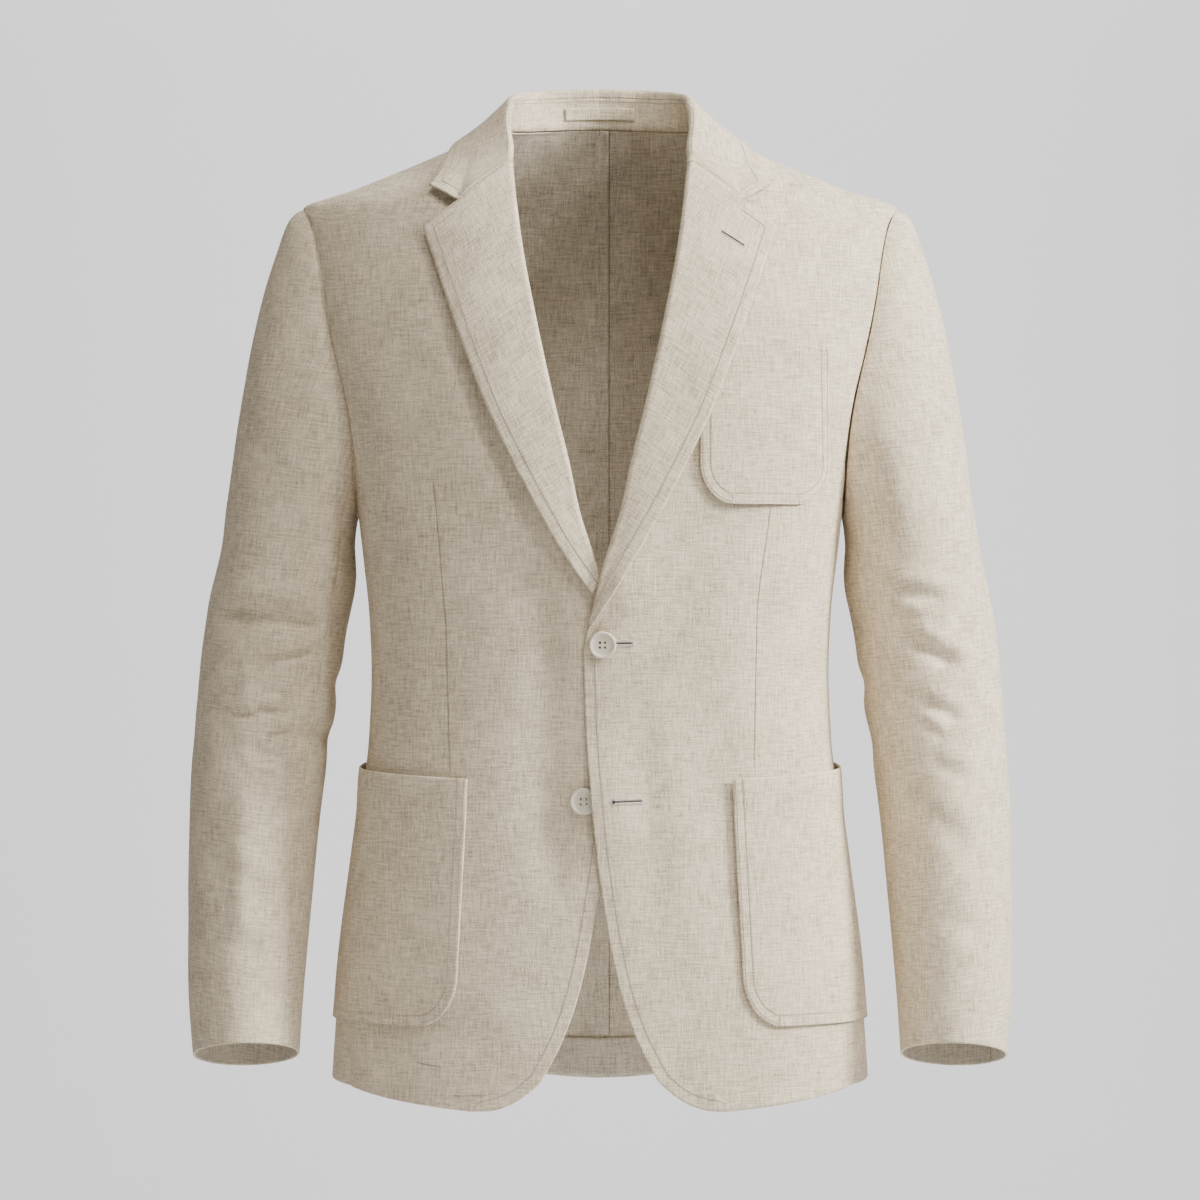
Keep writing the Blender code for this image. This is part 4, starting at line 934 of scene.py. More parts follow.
def from_line(grid, line):
    """Distance of each point of a grid from a line of points."""
    found = np.full(grid.shape[:2], 1.0)
    for start, end in zip(line[:-1], line[1:]):
        way = end - start
        off = grid - start
        share = np.clip(off @ way / max(way @ way, 1e-12), 0, 1)[..., None]
        found = np.minimum(found, np.linalg.norm(off - way * share, axis=-1))
    return found


def nearest_seam(*fields):
    """The signed distance that is closest to a seam, of several."""
    fields = np.stack(np.broadcast_arrays(*fields))
    pick = np.argmin(np.abs(fields), axis=0)[None]
    return np.take_along_axis(fields, pick, 0)[0]


def inset(line, outward, distance):
    """A line moved within the cloth, to its left as it is seen from outside."""
    line = np.asarray(line, float)
    ahead = unit(np.gradient(line, axis=0))
    return line + unit(np.cross(outward, ahead)) * distance


def front_edge_line(side, foot_end, high=-0.376):
    """The front edge, from a place on the hem round its foot to the break."""
    shares = np.linspace(1.0, 0.02, 40) * FRONT_FOOT[-1][0]
    heights = np.linspace(FRONT_EDGE[0][0], high, 110)
    found = [(foot_x_at(share), foot_height_at(share)) for share in shares]
    found += [(front_edge_at(z), z) for z in heights]
    found = np.array([place for place in found if place[0] < foot_end])
    points, _ = front_point(angle_at_x(found[:, 0], found[:, 1]), found[:, 1], side)
    return points


# ---------------------------------------------------------------- materials ----
def node(tree, kind, **settings):
    made = tree.nodes.new("ShaderNode" + kind)
    for key, value in settings.items():
        setattr(made, key, value)
    return made


def join(tree, value, socket):
    """Puts a number, colour or another node's output on a socket."""
    if hasattr(value, "links"):
        tree.links.new(value, socket)
    else:
        socket.default_value = value


def maths(tree, operation, *values):
    made = node(tree, "Math", operation=operation)
    for value, socket in zip(values, made.inputs):
        join(tree, value, socket)
    return made.outputs[0]


def noise(tree, vector, scale, detail=2.0, roughness=0.5, stretch=(1, 1, 1)):
    moved = node(tree, "VectorMath", operation="MULTIPLY")
    made = node(tree, "TexNoise")
    join(tree, vector, moved.inputs[0])
    moved.inputs[1].default_value = stretch
    join(tree, moved.outputs[0], made.inputs["Vector"])
    for key, value in (("Scale", scale), ("Detail", detail), ("Roughness", roughness)):
        made.inputs[key].default_value = value
    return made.outputs["Fac"]


def ramp(tree, value, stops):
    made = node(tree, "ValToRGB")
    join(tree, value, made.inputs[0])
    elements = made.color_ramp.elements
    while len(elements) < len(stops):
        elements.new(0.5)
    for element, (place, colour) in zip(elements, stops):
        element.position = place
        element.color = colour if len(colour) == 4 else (*colour, 1.0)
    return made.outputs[0]


def tint(tree, kind, factor, first, second):
    made = node(tree, "Mix", data_type="RGBA", blend_type=kind)
    join(tree, factor, made.inputs["Factor"])
    join(tree, first, made.inputs[6])
    join(tree, second, made.inputs[7])
    return made.outputs[2]


def new_material(name):
    made = bpy.data.materials.new(name)
    made.use_nodes = True
    return made, made.node_tree, made.node_tree.nodes["Principled BSDF"]


def times(colour, shares):
    return tuple(value * share for value, share in zip(colour, shares))


def written(tree, name):
    """A number that shell() writes on the points of a piece."""
    return node(tree, "Attribute", attribute_name=name).outputs["Fac"]


def finish_material(tree, shader, colour, height, strength, distance, settings):
    """Gives a shader its colour, its raised pattern and its other settings."""
    raised = node(tree, "Bump")
    raised.inputs["Strength"].default_value = strength
    raised.inputs["Distance"].default_value = distance
    join(tree, height, raised.inputs["Height"])
    join(tree, raised.outputs[0], shader.inputs["Normal"])
    join(tree, colour, shader.inputs["Base Color"])
    for key, value in settings.items():
        join(tree, value, shader.inputs[key])


def linen_material(name, base):
    """Plain-weave linen: uneven threads both ways, slubs, flecks and fuzz, with painted shade in
    the seams' grooves and on the inner faces.
    """
    made, tree, shader = new_material(name)
    grain = node(tree, "Attribute", attribute_name="grain").outputs["Vector"]
    warp = noise(tree, grain, 1.0, 2.0, 0.6, (1150, 130, 1))
    weft = noise(tree, grain, 1.0, 2.0, 0.6, (130, 1150, 1))
    warp_slub = noise(tree, grain, 1.0, 1.0, 0.5, (620, 55, 1))
    weft_slub = noise(tree, grain, 1.0, 1.0, 0.5, (55, 620, 1))
    fleck = noise(tree, grain, 1.0, 1.0, 0.5, (620, 260, 1))
    fuzz = noise(tree, grain, 1000.0, 2.0, 0.6)
    cloud = noise(tree, grain, 26.0, 4.0, 0.65)
    threads = maths(tree, "ADD", warp, weft)
    slubs = maths(tree, "ADD", warp_slub, weft_slub)

    tone = maths(tree, "MULTIPLY", slubs, 0.26)
    for part, share in ((threads, 0.26), (fuzz, 0.36), (cloud, 0.18)):
        tone = maths(tree, "MULTIPLY_ADD", part, share, tone)
    dark = times(base, (0.46, 0.43, 0.39))
    pale = tuple(min(value, 1) for value in times(base, (1.34, 1.36, 1.40)))
    colour = ramp(tree, tone, ((0.60, dark), (0.79, base), (0.93, pale)))
    speck = maths(tree, "MULTIPLY", maths(tree, "LESS_THAN", fleck, 0.27), 0.45)
    colour = tint(tree, "MIX", speck, colour, (*times(base, (0.36, 0.36, 0.36)), 1))

    # Painted shade: the colour darkens towards each seam line, as shade in its groove, and the same
    # field sinks the bump.
    groove_and_shade = maths(tree, "DIVIDE", maths(tree, "ABSOLUTE", written(tree, "seam")), SEAM_HALF)
    groove_and_shade = maths(tree, "SUBTRACT", 1.0, maths(tree, "SMOOTH_MIN", groove_and_shade, 1.0, 0.2))
    groove_and_shade = maths(tree, "MAXIMUM", groove_and_shade, 0.0)
    shown = maths(tree, "MULTIPLY_ADD", written(tree, "deep"), 1 - SEAM_SHOWS, SEAM_SHOWS)
    groove_and_shade = maths(tree, "MULTIPLY", groove_and_shade, shown)
    colour = tint(tree, "MULTIPLY", groove_and_shade, colour, (0.62, 0.58, 0.53, 1))
    # Painted shade: the inner faces are tinted darker and cooler.
    colour = tint(tree, "MULTIPLY", written(tree, "inside"), colour, (0.86, 0.89, 0.95, 1))

    split = node(tree, "SeparateXYZ")
    join(tree, grain, split.inputs[0])
    wander = maths(tree, "MULTIPLY", warp_slub, 5.0)
    over, under = (
        maths(tree, "SINE", maths(tree, "MULTIPLY_ADD", place, WEAVE_PER_METRE, wander))
        for place in (split.outputs[0], split.outputs[1])
    )
    checks = maths(tree, "MULTIPLY", over, under)
    height = threads
    for part, share in ((checks, 0.16), (slubs, 0.45), (fuzz, 1.1), (groove_and_shade, -2.4)):
        height = maths(tree, "MULTIPLY_ADD", part, share, height)
    finish_material(tree, shader, colour, height, 0.6, 0.0005, {
        "Roughness": maths(tree, "MULTIPLY_ADD", threads, -0.10, 0.96),
        "Sheen Weight": 0.08,
        "Sheen Roughness": 0.6,
        "Specular IOR Level": 0.2,
    })
    return made


def thread_material(name, base):
    """Twisted sewing thread."""
    made, tree, shader = new_material(name)
    place = node(tree, "TexCoord").outputs["Object"]
    twist = noise(tree, place, 2400.0, 2.0, 0.6)
    colour = ramp(tree, twist, ((0.3, times(base, (0.72, 0.72, 0.72))), (0.7, base)))
    finish_material(tree, shader, colour, twist, 0.5, 0.0001, {
        "Roughness": 0.75,
        "Sheen Weight": 0.1,
    })
    return made


def button_material(name, base):
    """Satin off-white disc with faint clouding and fine turning marks."""
    made, tree, shader = new_material(name)
    place = node(tree, "TexCoord").outputs["Object"]
    cloud = noise(tree, place, 90.0, 4.0, 0.6)
    fine = noise(tree, place, 1500.0, 2.0, 0.5)
    colour = ramp(tree, cloud, ((0.35, times(base, (0.93, 0.90, 0.84))), (0.65, base)))
    finish_material(tree, shader, colour, fine, 0.12, 0.0001, {
        "Roughness": maths(tree, "MULTIPLY_ADD", fine, 0.16, 0.26),
        "Coat Weight": 0.1,
        "Coat Roughness": 0.2,
        "Subsurface Weight": 0.08,
        "Subsurface Scale": 0.002,
    })
    return made


linen = linen_material("linen_cloth", (0.695, 0.590, 0.428))
linen_in = linen_material("linen_inside", (0.685, 0.590, 0.435))
thread = thread_material("linen_thread", (0.70, 0.61, 0.50))
dark_thread = thread_material("shaded_thread", (0.30, 0.26, 0.21))
horn = button_material("button_disc", (0.73, 0.675, 0.555))
pale_thread = thread_material("buttonhole_thread", (0.88, 0.84, 0.76))
slit_shade = thread_material("slit", (0.055, 0.045, 0.038))
needle_hole_shade = thread_material("needle_hole", (0.23, 0.19, 0.145))


# ------------------------------------------------------------------ pieces ----
PIECES = {}
GRIDS = {}                # outer face of each cloth piece
LINES = {}                # distance from its stitched lines
TREES = {}
FINISHES = {"linen": linen, "linen_inside": linen_in}


def keep(made, nodes):
    """Takes a piece into the part, in place of its solids."""
    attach(made, "root")
    if nodes:
        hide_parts(*nodes)
    PIECES[made.name] = made
    return made


def cloth(name, outer, normals, thick, grain, side, slot="linen", node_name=None, **shown):
    """Makes a cloth piece and takes it into the part, in place of its solid."""
    made = shell("cloth_" + name, outer, normals, thick, grain, FINISHES[slot], side < 0, **shown)
    GRIDS[made.name] = outer
    LINES[made.name] = shown.get("line")
    keep(made, [node_name or name])


def body_panel(name, domain, side, edges, plumb, front=False):
    """A front, side panel or back half; its threads run plumb at one angle."""
    domain = domain[..., 0], domain[..., 1]
    if front:
        base = round_shoulder(front_point(*domain, side)[0])
    else:
        base = body_point(*domain) * np.array([side, 1, 1])
    normals = grid_normals(base) * side
    lift = creased(base, normals, BODY_FRONT_CREASES, BODY_BACK_CREASES, 1)
    first = FRONT_EDGE_FADE if front else EDGE_FADE
    lift = lift * faded(1.0, base, foot=EDGE_FADE, top=EDGE_FADE, last=EDGE_FADE, first=first)
    outer = base + normals * (lift - seam_dip(base, edges))[..., None]
    lines = {}
    # A painted shadow line on the inner back, just past the edge of the centre back allowance.
    if plumb == math.pi:
        lines["inner_line"] = base[..., 0] - ALLOWANCE_EDGES[0] - ALLOWANCE_SHADOW_OFFSET
    if front:
        # Painted shade along the dart's groove, at full strength near it, and weaker along the edge
        # stitching.
        dart = dart_line(base, side)
        lines["deep"] = 1.0 * (np.abs(dart) < DART_HALF)
        edge = front_edge_line(side, FRONT_STITCH_END + 0.02)
        stitched = (from_line(base, edge) - EDGE_STITCH) * 2
        beyond = base[..., 0] * side > FRONT_STITCH_END
        stitched = np.where(beyond, np.sign(stitched), stitched)
        lines["line"] = nearest_seam(dart, stitched)
    grain = body_grain(*domain, side, BOLT["panel"] + plumb, plumb)
    rim = RIM_BULGE if front else 0.1
    cloth(name, outer, grid_normals(outer) * side, CLOTH, grain, side, rim=rim, **lines)


SEWN = ("first", "last", "top")
for side, word in SIDES:
    fine = finer(front_domain(), FRONT_FINE)
    body_panel("front_" + word, fine, side, ("last",), 0.0, front=True)
    fine = finer(side_domain(), SIDE_FINE)
    body_panel("side_" + word, fine, side, SEWN, math.radians(95))
    fine = finer(back_domain(), BACK_FINE)
    body_panel("back_" + word, fine, side, SEWN, math.pi)


# -------------------------------------------------------- lapels and collar ----
FOLD_FINE = 10            # cells round a fold, and from the fold to the edge
LEAF_FINE = 36
STAND_COLUMNS = 6
NOTCH_COLUMN = FOLD_FINE + 22
NOTCH_SHARE = 0.60        # of the way from roll line to lapel point
GORGE_STITCH = 0.0017
COLLAR_START = 42         # degrees round the neck: where the collar begins,
COLLAR_FIRST = 42.6       # its first row, and the side of the neck
NECK_SIDE = 90
THIN_FOOT_RADIUS = 0.24   # the lapel's foot thins out on the front's edge
THIN_FOOT_CLEAR = -0.0006
THIN_FOOT = 0.4           # of the wall
LAPEL_FINE_ROWS = 120
COLLAR_FINE_ROWS = 96


def turned(start, onward, outward, radius, steps, whole=math.pi):
    """Points of the turn, half a circle or less, where the cloth folds back."""
    bend = np.linspace(0, whole, steps + 1)[:, None]
    return start + onward * (radius * np.sin(bend)) + outward * (radius * (1 - np.cos(bend)))


def gorge_point(share, collar):
    """Along the lapel's top: roll line, notch, then lapel or collar point."""
    start_x = roll_line_at(GORGE)
    end_x = COLLAR_POINT[0] if collar else lapel_edge_at(LAPEL_EDGE[-1][0])
    end_z = COLLAR_POINT[1] if collar else LAPEL_EDGE[-1][0]
    raised = 2 * SEAM_GAP if collar else 0.0
    near = np.clip(share / NOTCH_SHARE, 0, 1)
    far = np.clip((share - NOTCH_SHARE) / (1 - NOTCH_SHARE), 0, 1)
    x = np.where(share <= NOTCH_SHARE, mix(start_x, NOTCH[0], near), mix(NOTCH[0], end_x, far))
    z = np.where(share <= NOTCH_SHARE, mix(GORGE, NOTCH[1], near), mix(NOTCH[1], end_z, far))
    return x, z + raised


def leaf_lift(share, radius, along):
    """Middle of the leaf above the front it lies on, low at the lapel's foot."""
    at_fold = 2 * radius - CLOTH / 2
    at_edge = mix(LEAF_FOOT_LIFT, LEAF_EDGE_LIFT, ease(along / 0.2))
    return mix(at_fold, at_edge, ease(share))


def lapel_row(along, side):
    """One line of a lapel's middle surface: fold first, then the leaf."""
    first = 0.0 if side > 0 else RIGHT_LAPEL_START
    t = mix(first, 1.0, along**1.15)
    foot = ease(t / FOOT_SHARE)
    radius = ROLL_RADIUS * mix(THIN_FOOT_RADIUS, 1.0, foot)
    roll_z = mix(LAPEL_FOOT, GORGE - SEAM_GAP, t)
    roll_x = fold_x_at(roll_z)
    edge_z = mix(LAPEL_EDGE[0][0], LAPEL_EDGE[-1][0], t)
    edge_x = lapel_edge_at(edge_z)
    if side < 0:
        edge_x = edge_x - RIGHT_EDGE_IN * (1 - foot)
    start, outward = front_point(angle_at_x(roll_x, roll_z), roll_z, side, -CLOTH / 2)
    lower_z = roll_z - 0.004
    lower_angle = angle_at_x(fold_x_at(lower_z), lower_z)
    below, _ = front_point(lower_angle, lower_z, side, -CLOTH / 2)
    onward = unit(np.cross(outward, unit(start - below)))
    if onward[0] * side > 0:
        onward = -onward
    start = start + onward * mix(THIN_FOOT_CLEAR, 3 * SEAM_GAP, foot)
    fold = turned(start, onward, outward, radius, FOLD_FINE)
    share = np.linspace(0, 1, LEAF_FINE + 1)[1:]
    x = mix(roll_x, edge_x, share)
    z = mix(roll_z, edge_z, share)
    top_x, top_z = gorge_point(share, False)
    pull = ease((t - 0.8) / 0.2)
    x = x + (top_x - mix(roll_line_at(GORGE), lapel_edge_at(LAPEL_EDGE[-1][0]), share)) * pull
    z = z + (top_z - mix(GORGE, LAPEL_EDGE[-1][0], share)) * pull
    lift = leaf_lift(share, radius, t)
    lift = lift + LEAF_SWELL * np.sin(math.pi * share) * ease(t / 0.3)
    stands_off = LEAF_STANDS_OFF * bump(t - 0.45, 0.42) * ease((1 - t) / 0.25)
    lift = lift + stands_off * share**2
    leaf, _ = front_point(angle_at_x(x, z), z, side, lift)
    return np.concatenate([fold, leaf])


fold_out_at = column(COLLAR_FOLD, 0, 1)
fold_forward_at = column(COLLAR_FOLD, 0, 2)
fold_height_at = column(COLLAR_FOLD, 0, 3)
edge_angle_at = column(COLLAR_EDGE, 0, 1)
edge_height_at = column(COLLAR_EDGE, 0, 2)


def neck_point(station):
    """Where the stand grows from the neck seam, for the half on +X."""
    if station >= NECK_SIDE:
        height = mix(NECK_POINT, BACK_NECK, ease((station - NECK_SIDE) / NECK_SIDE))
        return body_point(math.radians(station), height)
    share = (station - COLLAR_START) / (NECK_SIDE - COLLAR_START)
    height = mix(GORGE, NECK_POINT, share)
    return body_point(angle_at_x(roll_line_at(height), height), height)


def collar_row(station):
    """One line of the collar's middle surface: stand, fold, then the fall."""
    fold = np.array([fold_out_at(station), -fold_forward_at(station), fold_height_at(station)])
    root = neck_point(station)
    out = np.array([root[0], root[1], 0.0])
    if station < NECK_SIDE:
        out = mix(np.array([1.0, 0.0, 0.0]), out, 0.3)
    out = unit(out)
    start_share = ease((station - COLLAR_START) / FOLD_LEAVES_GORGE)
    base = root - out * mix(STAND_INSET, 1.5 * STAND_INSET, ease((95 - station) / 10))
    base[2] += 0.0004
    onward = unit(fold - base)
    outward = unit(out - onward * out.dot(onward))
    if start_share < 1:
        angle = angle_at_x(roll_line_at(GORGE), GORGE)
        gorge_start, gorge_out = front_point(angle, GORGE, 1, -CLOTH / 2)
        onward_start = unit(np.cross(gorge_out, np.array([0, 0.45, 1])))
        if onward_start[0] > 0:
            onward_start = -onward_start
        onward = unit(mix(onward_start, onward, start_share))
        outward = mix(gorge_out, outward, start_share)
        outward = unit(outward - onward * outward.dot(onward))
        gorge_start = gorge_start + onward_start * (3 * SEAM_GAP)
        gorge_start[2] += 2 * SEAM_GAP
        base = mix(gorge_start, base, start_share)
        fold = mix(base + onward * ROLL_RADIUS, fold, start_share)
    turn_start = base + onward * max((fold - onward * ROLL_RADIUS - base).dot(onward), 0.0006)
    stand = [mix(base, turn_start, i / STAND_COLUMNS) for i in range(STAND_COLUMNS)]
    edge_place = (math.radians(edge_angle_at(station)), edge_height_at(station))
    edge = body_point(*edge_place) + body_normal(*edge_place) * COLLAR_EDGE_LIFT
    hold = 1 - ease((station - COLLAR_START) / EDGE_LEAVES_GORGE)
    reach = edge - turn_start - outward * (2 * ROLL_RADIUS)
    lean = math.atan2(reach.dot(outward), -reach.dot(onward))
    lean = min(max(lean, 0.0), math.radians(COLLAR_LEAN)) * (1 - hold)
    roll = turned(turn_start, onward, outward, ROLL_RADIUS, FOLD_FINE, math.pi - lean)
    share = np.linspace(0, 1, LEAF_FINE + 1)[1:]
    fall = mix(roll[-1], edge, share[:, None])
    swell = COLLAR_SWELL * np.sin(math.pi * share) * ease((station - COLLAR_START) / 25)
    fall = fall + unit(out + np.array([0, 0, 0.8])) * swell[:, None]
    gorge_x, gorge_z = gorge_point(share, True)
    lift = leaf_lift(share, ROLL_RADIUS, 1.0) + LEAF_SWELL * np.sin(math.pi * share)
    seam, _ = front_point(angle_at_x(gorge_x, gorge_z), gorge_z, 1, lift)
    return np.concatenate([stand, roll, mix(fall, seam, hold)])


def lapel_seam(outer):
    """Distance to the stitching inside the outer edge and the free part of the top, where the
    material paints a shaded groove.
    """
    field = from_line(outer, outer[2:, -1]) - LEAF_STITCH
    top = from_line(outer, outer[-1, NOTCH_COLUMN:]) - LEAF_STITCH
    field[:, NOTCH_COLUMN:] = np.minimum(field, top)[:, NOTCH_COLUMN:]
    return field * 2


def collar_seam(outer):
    """Distance to the stitching inside the fall's edges and over the gorge, and to a groove round
    the stand; the material paints shade along them.
    """
    notch = STAND_COLUMNS + NOTCH_COLUMN
    leaf = STAND_COLUMNS + FOLD_FINE
    field = from_line(outer, outer[:, -1]) - LEAF_STITCH
    for end in (outer[0], outer[-1]):
        free = from_line(outer, end[notch:]) - LEAF_STITCH
        field[:, notch:] = np.minimum(field, free)[:, notch:]
        gorge = from_line(outer, end[leaf:notch + 1]) - GORGE_STITCH
        field[:, leaf:notch] = np.minimum(field, gorge)[:, leaf:notch]
    field[:, leaf:] *= 2
    field[:, :leaf] = (lengths(outer, 1) - STAND_GROOVE)[:, :leaf]
    return field


def folded_shell(name, middle, sign, seam, thick=FOLDED_CLOTH):
    """A lapel or collar: cloth and facing as one thicker shell."""
    normals = grid_normals(middle) * sign
    outer = middle + normals * (FOLDED_CLOTH / 2)
    across = lengths(outer, 1)
    along = np.broadcast_to(lengths(outer, 0)[:, -8:-7], across.shape)
    grain = np.stack([across - across[:, -1:] + BOLT["folded"], along + 0.17], -1)
    cloth(name, outer, normals, thick, grain, sign, line=seam(outer))


shares = np.linspace(0, 1, LAPEL_FINE_ROWS + 1)
thick = FOLDED_CLOTH * mix(THIN_FOOT, 1.0, ease(shares / 0.12))[:, None]
for side, word in SIDES:
    rows = np.array([lapel_row(t, side) for t in shares])
    folded_shell("lapel_" + word, rows, side, lapel_seam, thick)

share = np.linspace(0, 1, COLLAR_FINE_ROWS + 1) ** 1.1
stations = COLLAR_FIRST + (180.0 - COLLAR_FIRST) * share
half = np.array([collar_row(station) for station in stations])
other = half[:-1][::-1] * np.array([-1, 1, 1])
folded_shell("collar", np.concatenate([half, other]), 1, collar_seam)


# ----------------------------------------------------------------- sleeves ----
SLEEVE_TABLE = np.array(SLEEVE)
SLEEVE_LEAN = math.radians(7)
SLEEVE_MEAN_RADIUS = 0.062
SOFT_FOLD = 0.35          # of the solid's front folds, under the finer creases


def catmull(a, b, c, d, t):
    """Smooth curve through the two middle values of four."""
    return 0.5 * (
        2 * b + (c - a) * t + (2 * a - 5 * b + 4 * c - d) * t**2 + (3 * b - a - 3 * c + d) * t**3
    )


def sleeve_point(section, turn, folds):
    """Outer face of a sleeve, by section number and turn round it, for +X."""
    last = len(SLEEVE_TABLE) - 1
    low = np.clip(section.astype(int), 0, last - 1)
    t = (section - low)[..., None]
    four = [SLEEVE_TABLE[np.clip(low + k, 0, last)] for k in (-1, 0, 1, 2)]
    values = np.moveaxis(catmull(*four, t), -1, 0)
    outer_x, outer_z, inner_x, inner_z, front, back, tilt = values
    zero = np.zeros_like(outer_x)
    middle = np.stack([(outer_x + inner_x) / 2, (front + back) / 2, (outer_z + inner_z) / 2], -1)
    across = np.stack([(outer_x - inner_x) / 2, zero, (outer_z - inner_z) / 2], -1)
    forward = np.stack([zero, (front - back) / 2, tilt / 2], -1)
    cos, sin = np.cos(turn), np.sin(turn)
    point = middle + across * cos[..., None] + forward * sin[..., None]
    hold = (1 - ease(section / SLEEVE_BLEND))[..., None]
    seam = body_point(*armhole(turn)) + np.array([3 * SEAM_GAP, 0, 0])
    first = SLEEVE_TABLE[0]
    flat = np.stack([
        (first[0] + first[2]) / 2 + (first[0] - first[2]) / 2 * cos,
        (first[4] + first[5]) / 2 + (first[4] - first[5]) / 2 * sin,
        (first[1] + first[3]) / 2 + (first[1] - first[3]) / 2 * cos,
    ], -1)
    point = point + (seam - flat) * hold
    depth = zero
    for centre, where, along, around, lean, deep in folds:
        off = (np.degrees(turn) - where + 180) % 360 - 180
        shift = section - centre - lean * off * 4
        soft = SOFT_FOLD if where < 150 else 1.0
        depth = depth + soft * deep * bump(shift, along) * bump(off, around)
    return point + unit(middle - point) * depth[..., None]


def back_seam_turn(section):
    """Turn round the sleeve at which the back seam runs."""
    share = section / (len(SLEEVE) - 1)
    return np.radians(mix(BACK_SEAM_ANGLES[0], BACK_SEAM_ANGLES[1], ease(share)))


SLEEVE_MIDDLE = np.array([
    ((out_z + in_z) / 2, (out_x + in_x) / 2, (front_y + back_y) / 2)
    for out_x, out_z, in_x, in_z, front_y, back_y, _ in SLEEVE
])[::-1]


def sleeve_grain(points, side, start):
    """Places in the weave of a sleeve: round its middle line, and along it."""
    x, y, z = points[..., 0] * side, points[..., 1], points[..., 2]
    middle_x = np.interp(z, SLEEVE_MIDDLE[:, 0], SLEEVE_MIDDLE[:, 1])
    middle_y = np.interp(z, SLEEVE_MIDDLE[:, 0], SLEEVE_MIDDLE[:, 2])
    turn = np.arctan2(x - middle_x, -(y - middle_y))
    turn = np.where(turn > math.pi * 0.8, turn - 2 * math.pi, turn)
    along = z * math.cos(SLEEVE_LEAN) - x * math.sin(SLEEVE_LEAN)
    return np.stack([(turn * SLEEVE_MEAN_RADIUS + start) * side, along], -1)


def sleeve_piece(side, word, part, folds, table):
    """The top or under half of a sleeve, from its front seam to its back seam."""
    top = part == "top"
    wide = TOP_SLEEVE_COLUMNS if top else UNDER_SLEEVE_COLUMNS
    section = places(len(SLEEVE) - 1, SLEEVE_FINE[1])[:, None]
    share = (places(wide, SLEEVE_FINE[0]) / wide)[None, :]
    front_turn = math.radians(FRONT_SEAM_ANGLE)
    back_turn = back_seam_turn(section)
    if top:
        turn = mix(back_turn - 2 * math.pi, front_turn, share)
    else:
        turn = mix(front_turn, back_turn, share)
    section = np.broadcast_to(section, turn.shape)
    base = sleeve_point(section, turn, folds) * np.array([side, 1, 1])
    normals = grid_normals(base) * side
    lift = creased(base, normals, table, SLEEVE_BACK_CREASES, side)
    lift = lift * faded(1.0, base, foot=EDGE_FADE, top=CUFF_FADE)
    outer = base + normals * (lift - seam_dip(base, ("foot", "first", "last")))[..., None]
    grain = sleeve_grain(base, side, BOLT[part])
    name = "sleeve_" + word + "_" + part
    cloth(name, outer, grid_normals(outer) * side, CLOTH, grain, side, rim=0.25)


for part in ("top", "under"):
    sleeve_piece(1, "left", part, LEFT_FOLDS, LEFT_SLEEVE_CREASES)
for part in ("top", "under"):
    sleeve_piece(-1, "right", part, RIGHT_FOLDS, RIGHT_SLEEVE_CREASES)


# ----------------------------------------------------------------- pockets ----
def rounded_share(down, across, radius_down, radius_across):
    """Pulls the lower corners of a unit square in to round them."""
    t = np.clip((down - (1 - radius_down)) / radius_down, 0, 1)
    inset = radius_across * (1 - np.sqrt(np.maximum(1 - t * t, 0.0)))
    return mix(inset, 1 - inset, across)


def pocket_row(up):
    """Row positions of a pocket, foot to mouth, closer where its corners round."""
    return np.minimum(1 - up**1.7, 0.997)


def outline(grid):
    """Round a pocket from one end of its mouth to the other."""
    return np.concatenate([grid[::-1, 0], grid[0, 1:-1], grid[:, -1]])


def pocket_piece(name, outer, grain, side):
    # painted shade in the groove of the pocket's stitching
    line = from_line(outer, outline(outer)) - POCKET_STITCH
    cloth(name, outer, grid_normals(outer) * side, CLOTH, grain, side, line=line)


def pocket_shares(rows, columns, corner):
    """Shares down and across a pocket, drawn in at its lower corners."""
    down = pocket_row((places(rows, 8) / rows)[:, None])
    across = rounded_share(down, (places(columns, 8) / columns)[None, :], *corner)
    return np.broadcast_to(down, across.shape), across


down, across = pocket_shares(POCKET_ROWS, POCKET_COLUMNS, POCKET_CORNER)
height = mix(mix(*POCKET_TOP, across), POCKET_FOOT, down)
angle = mix(angle_at_x(mix(*POCKET_FRONT, down), height), math.radians(POCKET_SIDE), across)
slack = ease(1 - down / 0.22) * np.sqrt(np.maximum(np.sin(math.pi * across), 0))
for side, word in SIDES:
    grid, _ = front_point(angle, height, side, POCKET_CLEAR + CLOTH + POCKET_PROUD * slack)
    pocket_piece("pocket_" + word, grid, body_grain(angle, height, side, BOLT["pocket"]), side)

down, across = pocket_shares(CHEST_ROWS, CHEST_COLUMNS, CHEST_CORNER)
height = mix(CHEST_TOP, CHEST_FOOT, down)
angle = angle_at_x(mix(CHEST_INNER, CHEST_OUTER, across), height)
grid, _ = front_point(angle, height, 1, CHEST_CLEAR + CLOTH)
pocket_piece("pocket_chest", grid, body_grain(angle, height, 1, BOLT["chest"]), 1)


# ------------------------------------------------------------ inner strips ----
def strip_piece(name, node_name, outer, thick):
    grain = np.stack([lengths(outer, 1) + BOLT["strip"], lengths(outer, 0)], -1)
    cloth(name, outer, grid_normals(outer), thick, grain, 1, "linen_inside", node_name)


first = math.radians(SIDE_BACK_SEAM[0][1] + 2)
angles = np.broadcast_to(np.linspace(first, 2 * math.pi - first, 181), (13, 181))
height = hem_height(angles) + np.linspace(0.002, TURNUP, 13)[:, None]
below = body_normal(angles, height) * (CLOTH + TURNUP_CLEAR)
strip_piece("turnup", "back_turnup", body_point(angles, height) - below, STRIP)

